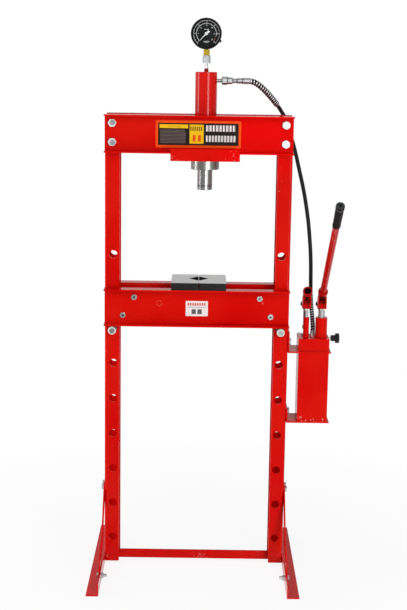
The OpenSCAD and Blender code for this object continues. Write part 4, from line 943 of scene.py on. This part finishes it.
# painted shade: the vent hole's wall and bottom are coloured nearly black
vent_hole_shade = off_axis < (vent_radius / 1000) ** 2
mottle = noise(place, 60, 4)
rubber = mottle.ramp(0.3, 0.7).pick((0.006, 0.006, 0.006), (0.012, 0.012, 0.013))
rubber = rim.pick(worn_end.pick(rubber, (0.040, 0.042, 0.044)), (0.22, 0.22, 0.23))
end(grip_finish, noise(place, 500, 2), 0.0001, Specular_IOR_Level=0.06,
    Base_Color=vent_hole_shade.pick(rubber, (0.002, 0.002, 0.002)), Roughness=mottle.ramp(0.3, 0.7, 0.38, 0.55))
grip.data.materials.append(grip_finish)
print("grip's rim and end finished")

# %% [markdown]
# # Floor, backdrop and light
# The press stands in a white studio. The floor is a wide pale sheet that keeps a
# soft shadow and turns into plain white further out. The world behind it is white
# where the eye sees it. In metal, paint and glass both are white behind the press
# and dimmer towards the eye, as a room is on that side, so that round parts keep a
# darker middle. The press itself is lit at a plain level by a dim world, by two
# upright softboxes, one to the right of the eye and one square to the left side,
# and by a weak light from high in front. On the cylinder the softboxes draw its two
# upright streaks.

# %% Rays that see the background
def seen_by(tree):
    """1 for rays from the eye, and 1 for rays from metal or through glass."""
    eye_ray, glossy, through = (Wire.node(tree, "LightPath", out=f"Is {kind} Ray")
                                for kind in ("Camera", "Glossy", "Transmission"))
    return eye_ray, (glossy + through > 0.5) * (1 - eye_ray)


# %% Floor
paper = bpy.data.materials.new("studio_floor")
paper.use_nodes = True
tree = paper.node_tree
tree.nodes.clear()
place = Wire.node(tree, "TexCoord", out="Object")
eye_ray, mirrored = seen_by(tree)
dim_in_front = place.part("Y").ramp(-1.8, -0.3, 0.25, 1.0)
far_out = place.length().ramp(0.5, 1.5, 0.9, 1.0)
pale = Wire.node(tree, "BsdfDiffuse", None, {"Color": (0.9, 0.9, 0.9, 1)})
shine = eye_ray + mirrored * dim_in_front
glow = Wire.node(tree, "Emission", None, {"Color": (1, 1, 1, 1), "Strength": shine})
both = Wire.node(tree, "MixShader", None, {0: eye_ray * far_out + mirrored, 1: pale, 2: glow})
tree.links.new(both.socket, tree.nodes.new("ShaderNodeOutputMaterial").inputs[0])

reach, just_under = 9.0, -0.0005
mesh = bpy.data.meshes.new("floor")
mesh.from_pydata([(-reach, -reach, 0), (reach, -reach, 0), (reach, reach, 0), (-reach, reach, 0)],
                 [], [(0, 1, 2, 3)])
mesh.materials.append(paper)
floor = bpy.data.objects.new("floor", mesh)
floor.location.z = just_under
scene.collection.objects.link(floor)
print(f"floor {2 * reach:.0f} m wide")

# %% World
world = bpy.data.worlds.new("studio")
scene.world = world
world.use_nodes = True
tree = world.node_tree
tree.nodes.clear()
eye_ray, mirrored = seen_by(tree)
direction = Wire.node(tree, "TexCoord", out="Generated")
dim_in_front = direction.part("Y").ramp(0.2, 0.95, 0.45, 1.0)
lit_by_world = 0.26
strength = lit_by_world * (1 - eye_ray - mirrored) + eye_ray + mirrored * dim_in_front
sky = Wire.node(tree, "Background", None, {"Color": (1, 1, 1, 1), "Strength": strength})
tree.links.new(sky.socket, tree.nodes.new("ShaderNodeOutputWorld").inputs[0])
print(f"the world lights the press at {lit_by_world}")

# %% Softboxes
def softbox(name, azimuth, distance, height, wide, tall, watts, mirrored=True):
    """An upright rectangular light that faces the press. Azimuth 0 is in front, 90 to the right."""
    a = math.radians(azimuth)
    light = bpy.data.objects.new(name, bpy.data.lights.new(name, "AREA"))
    light.data.shape, light.data.size, light.data.size_y = "RECTANGLE", wide, tall
    light.data.energy = watts
    light.location = (distance * math.sin(a), -distance * math.cos(a), height)
    light.rotation_euler = (Vector((0, 0, 1.0)) - light.location).to_track_quat("-Z", "Y").to_euler()
    light.visible_camera, light.visible_glossy = False, mirrored
    scene.collection.objects.link(light)
    print(f"{name}: {watts} W from {azimuth} degrees")


softbox("softbox_right", 24, 3.4, 1.5, 1.1, 2.6, 72)
softbox("softbox_left", -88, 2.6, 1.3, 0.9, 2.6, 45)
softbox("front_fill", -15, 3.4, 3.2, 2.6, 1.6, 22, mirrored=False)

# %% Colours as they are written
scene.view_settings.view_transform = "Standard"
print("view transform:", scene.view_settings.view_transform)

# %% End
print("scene built")
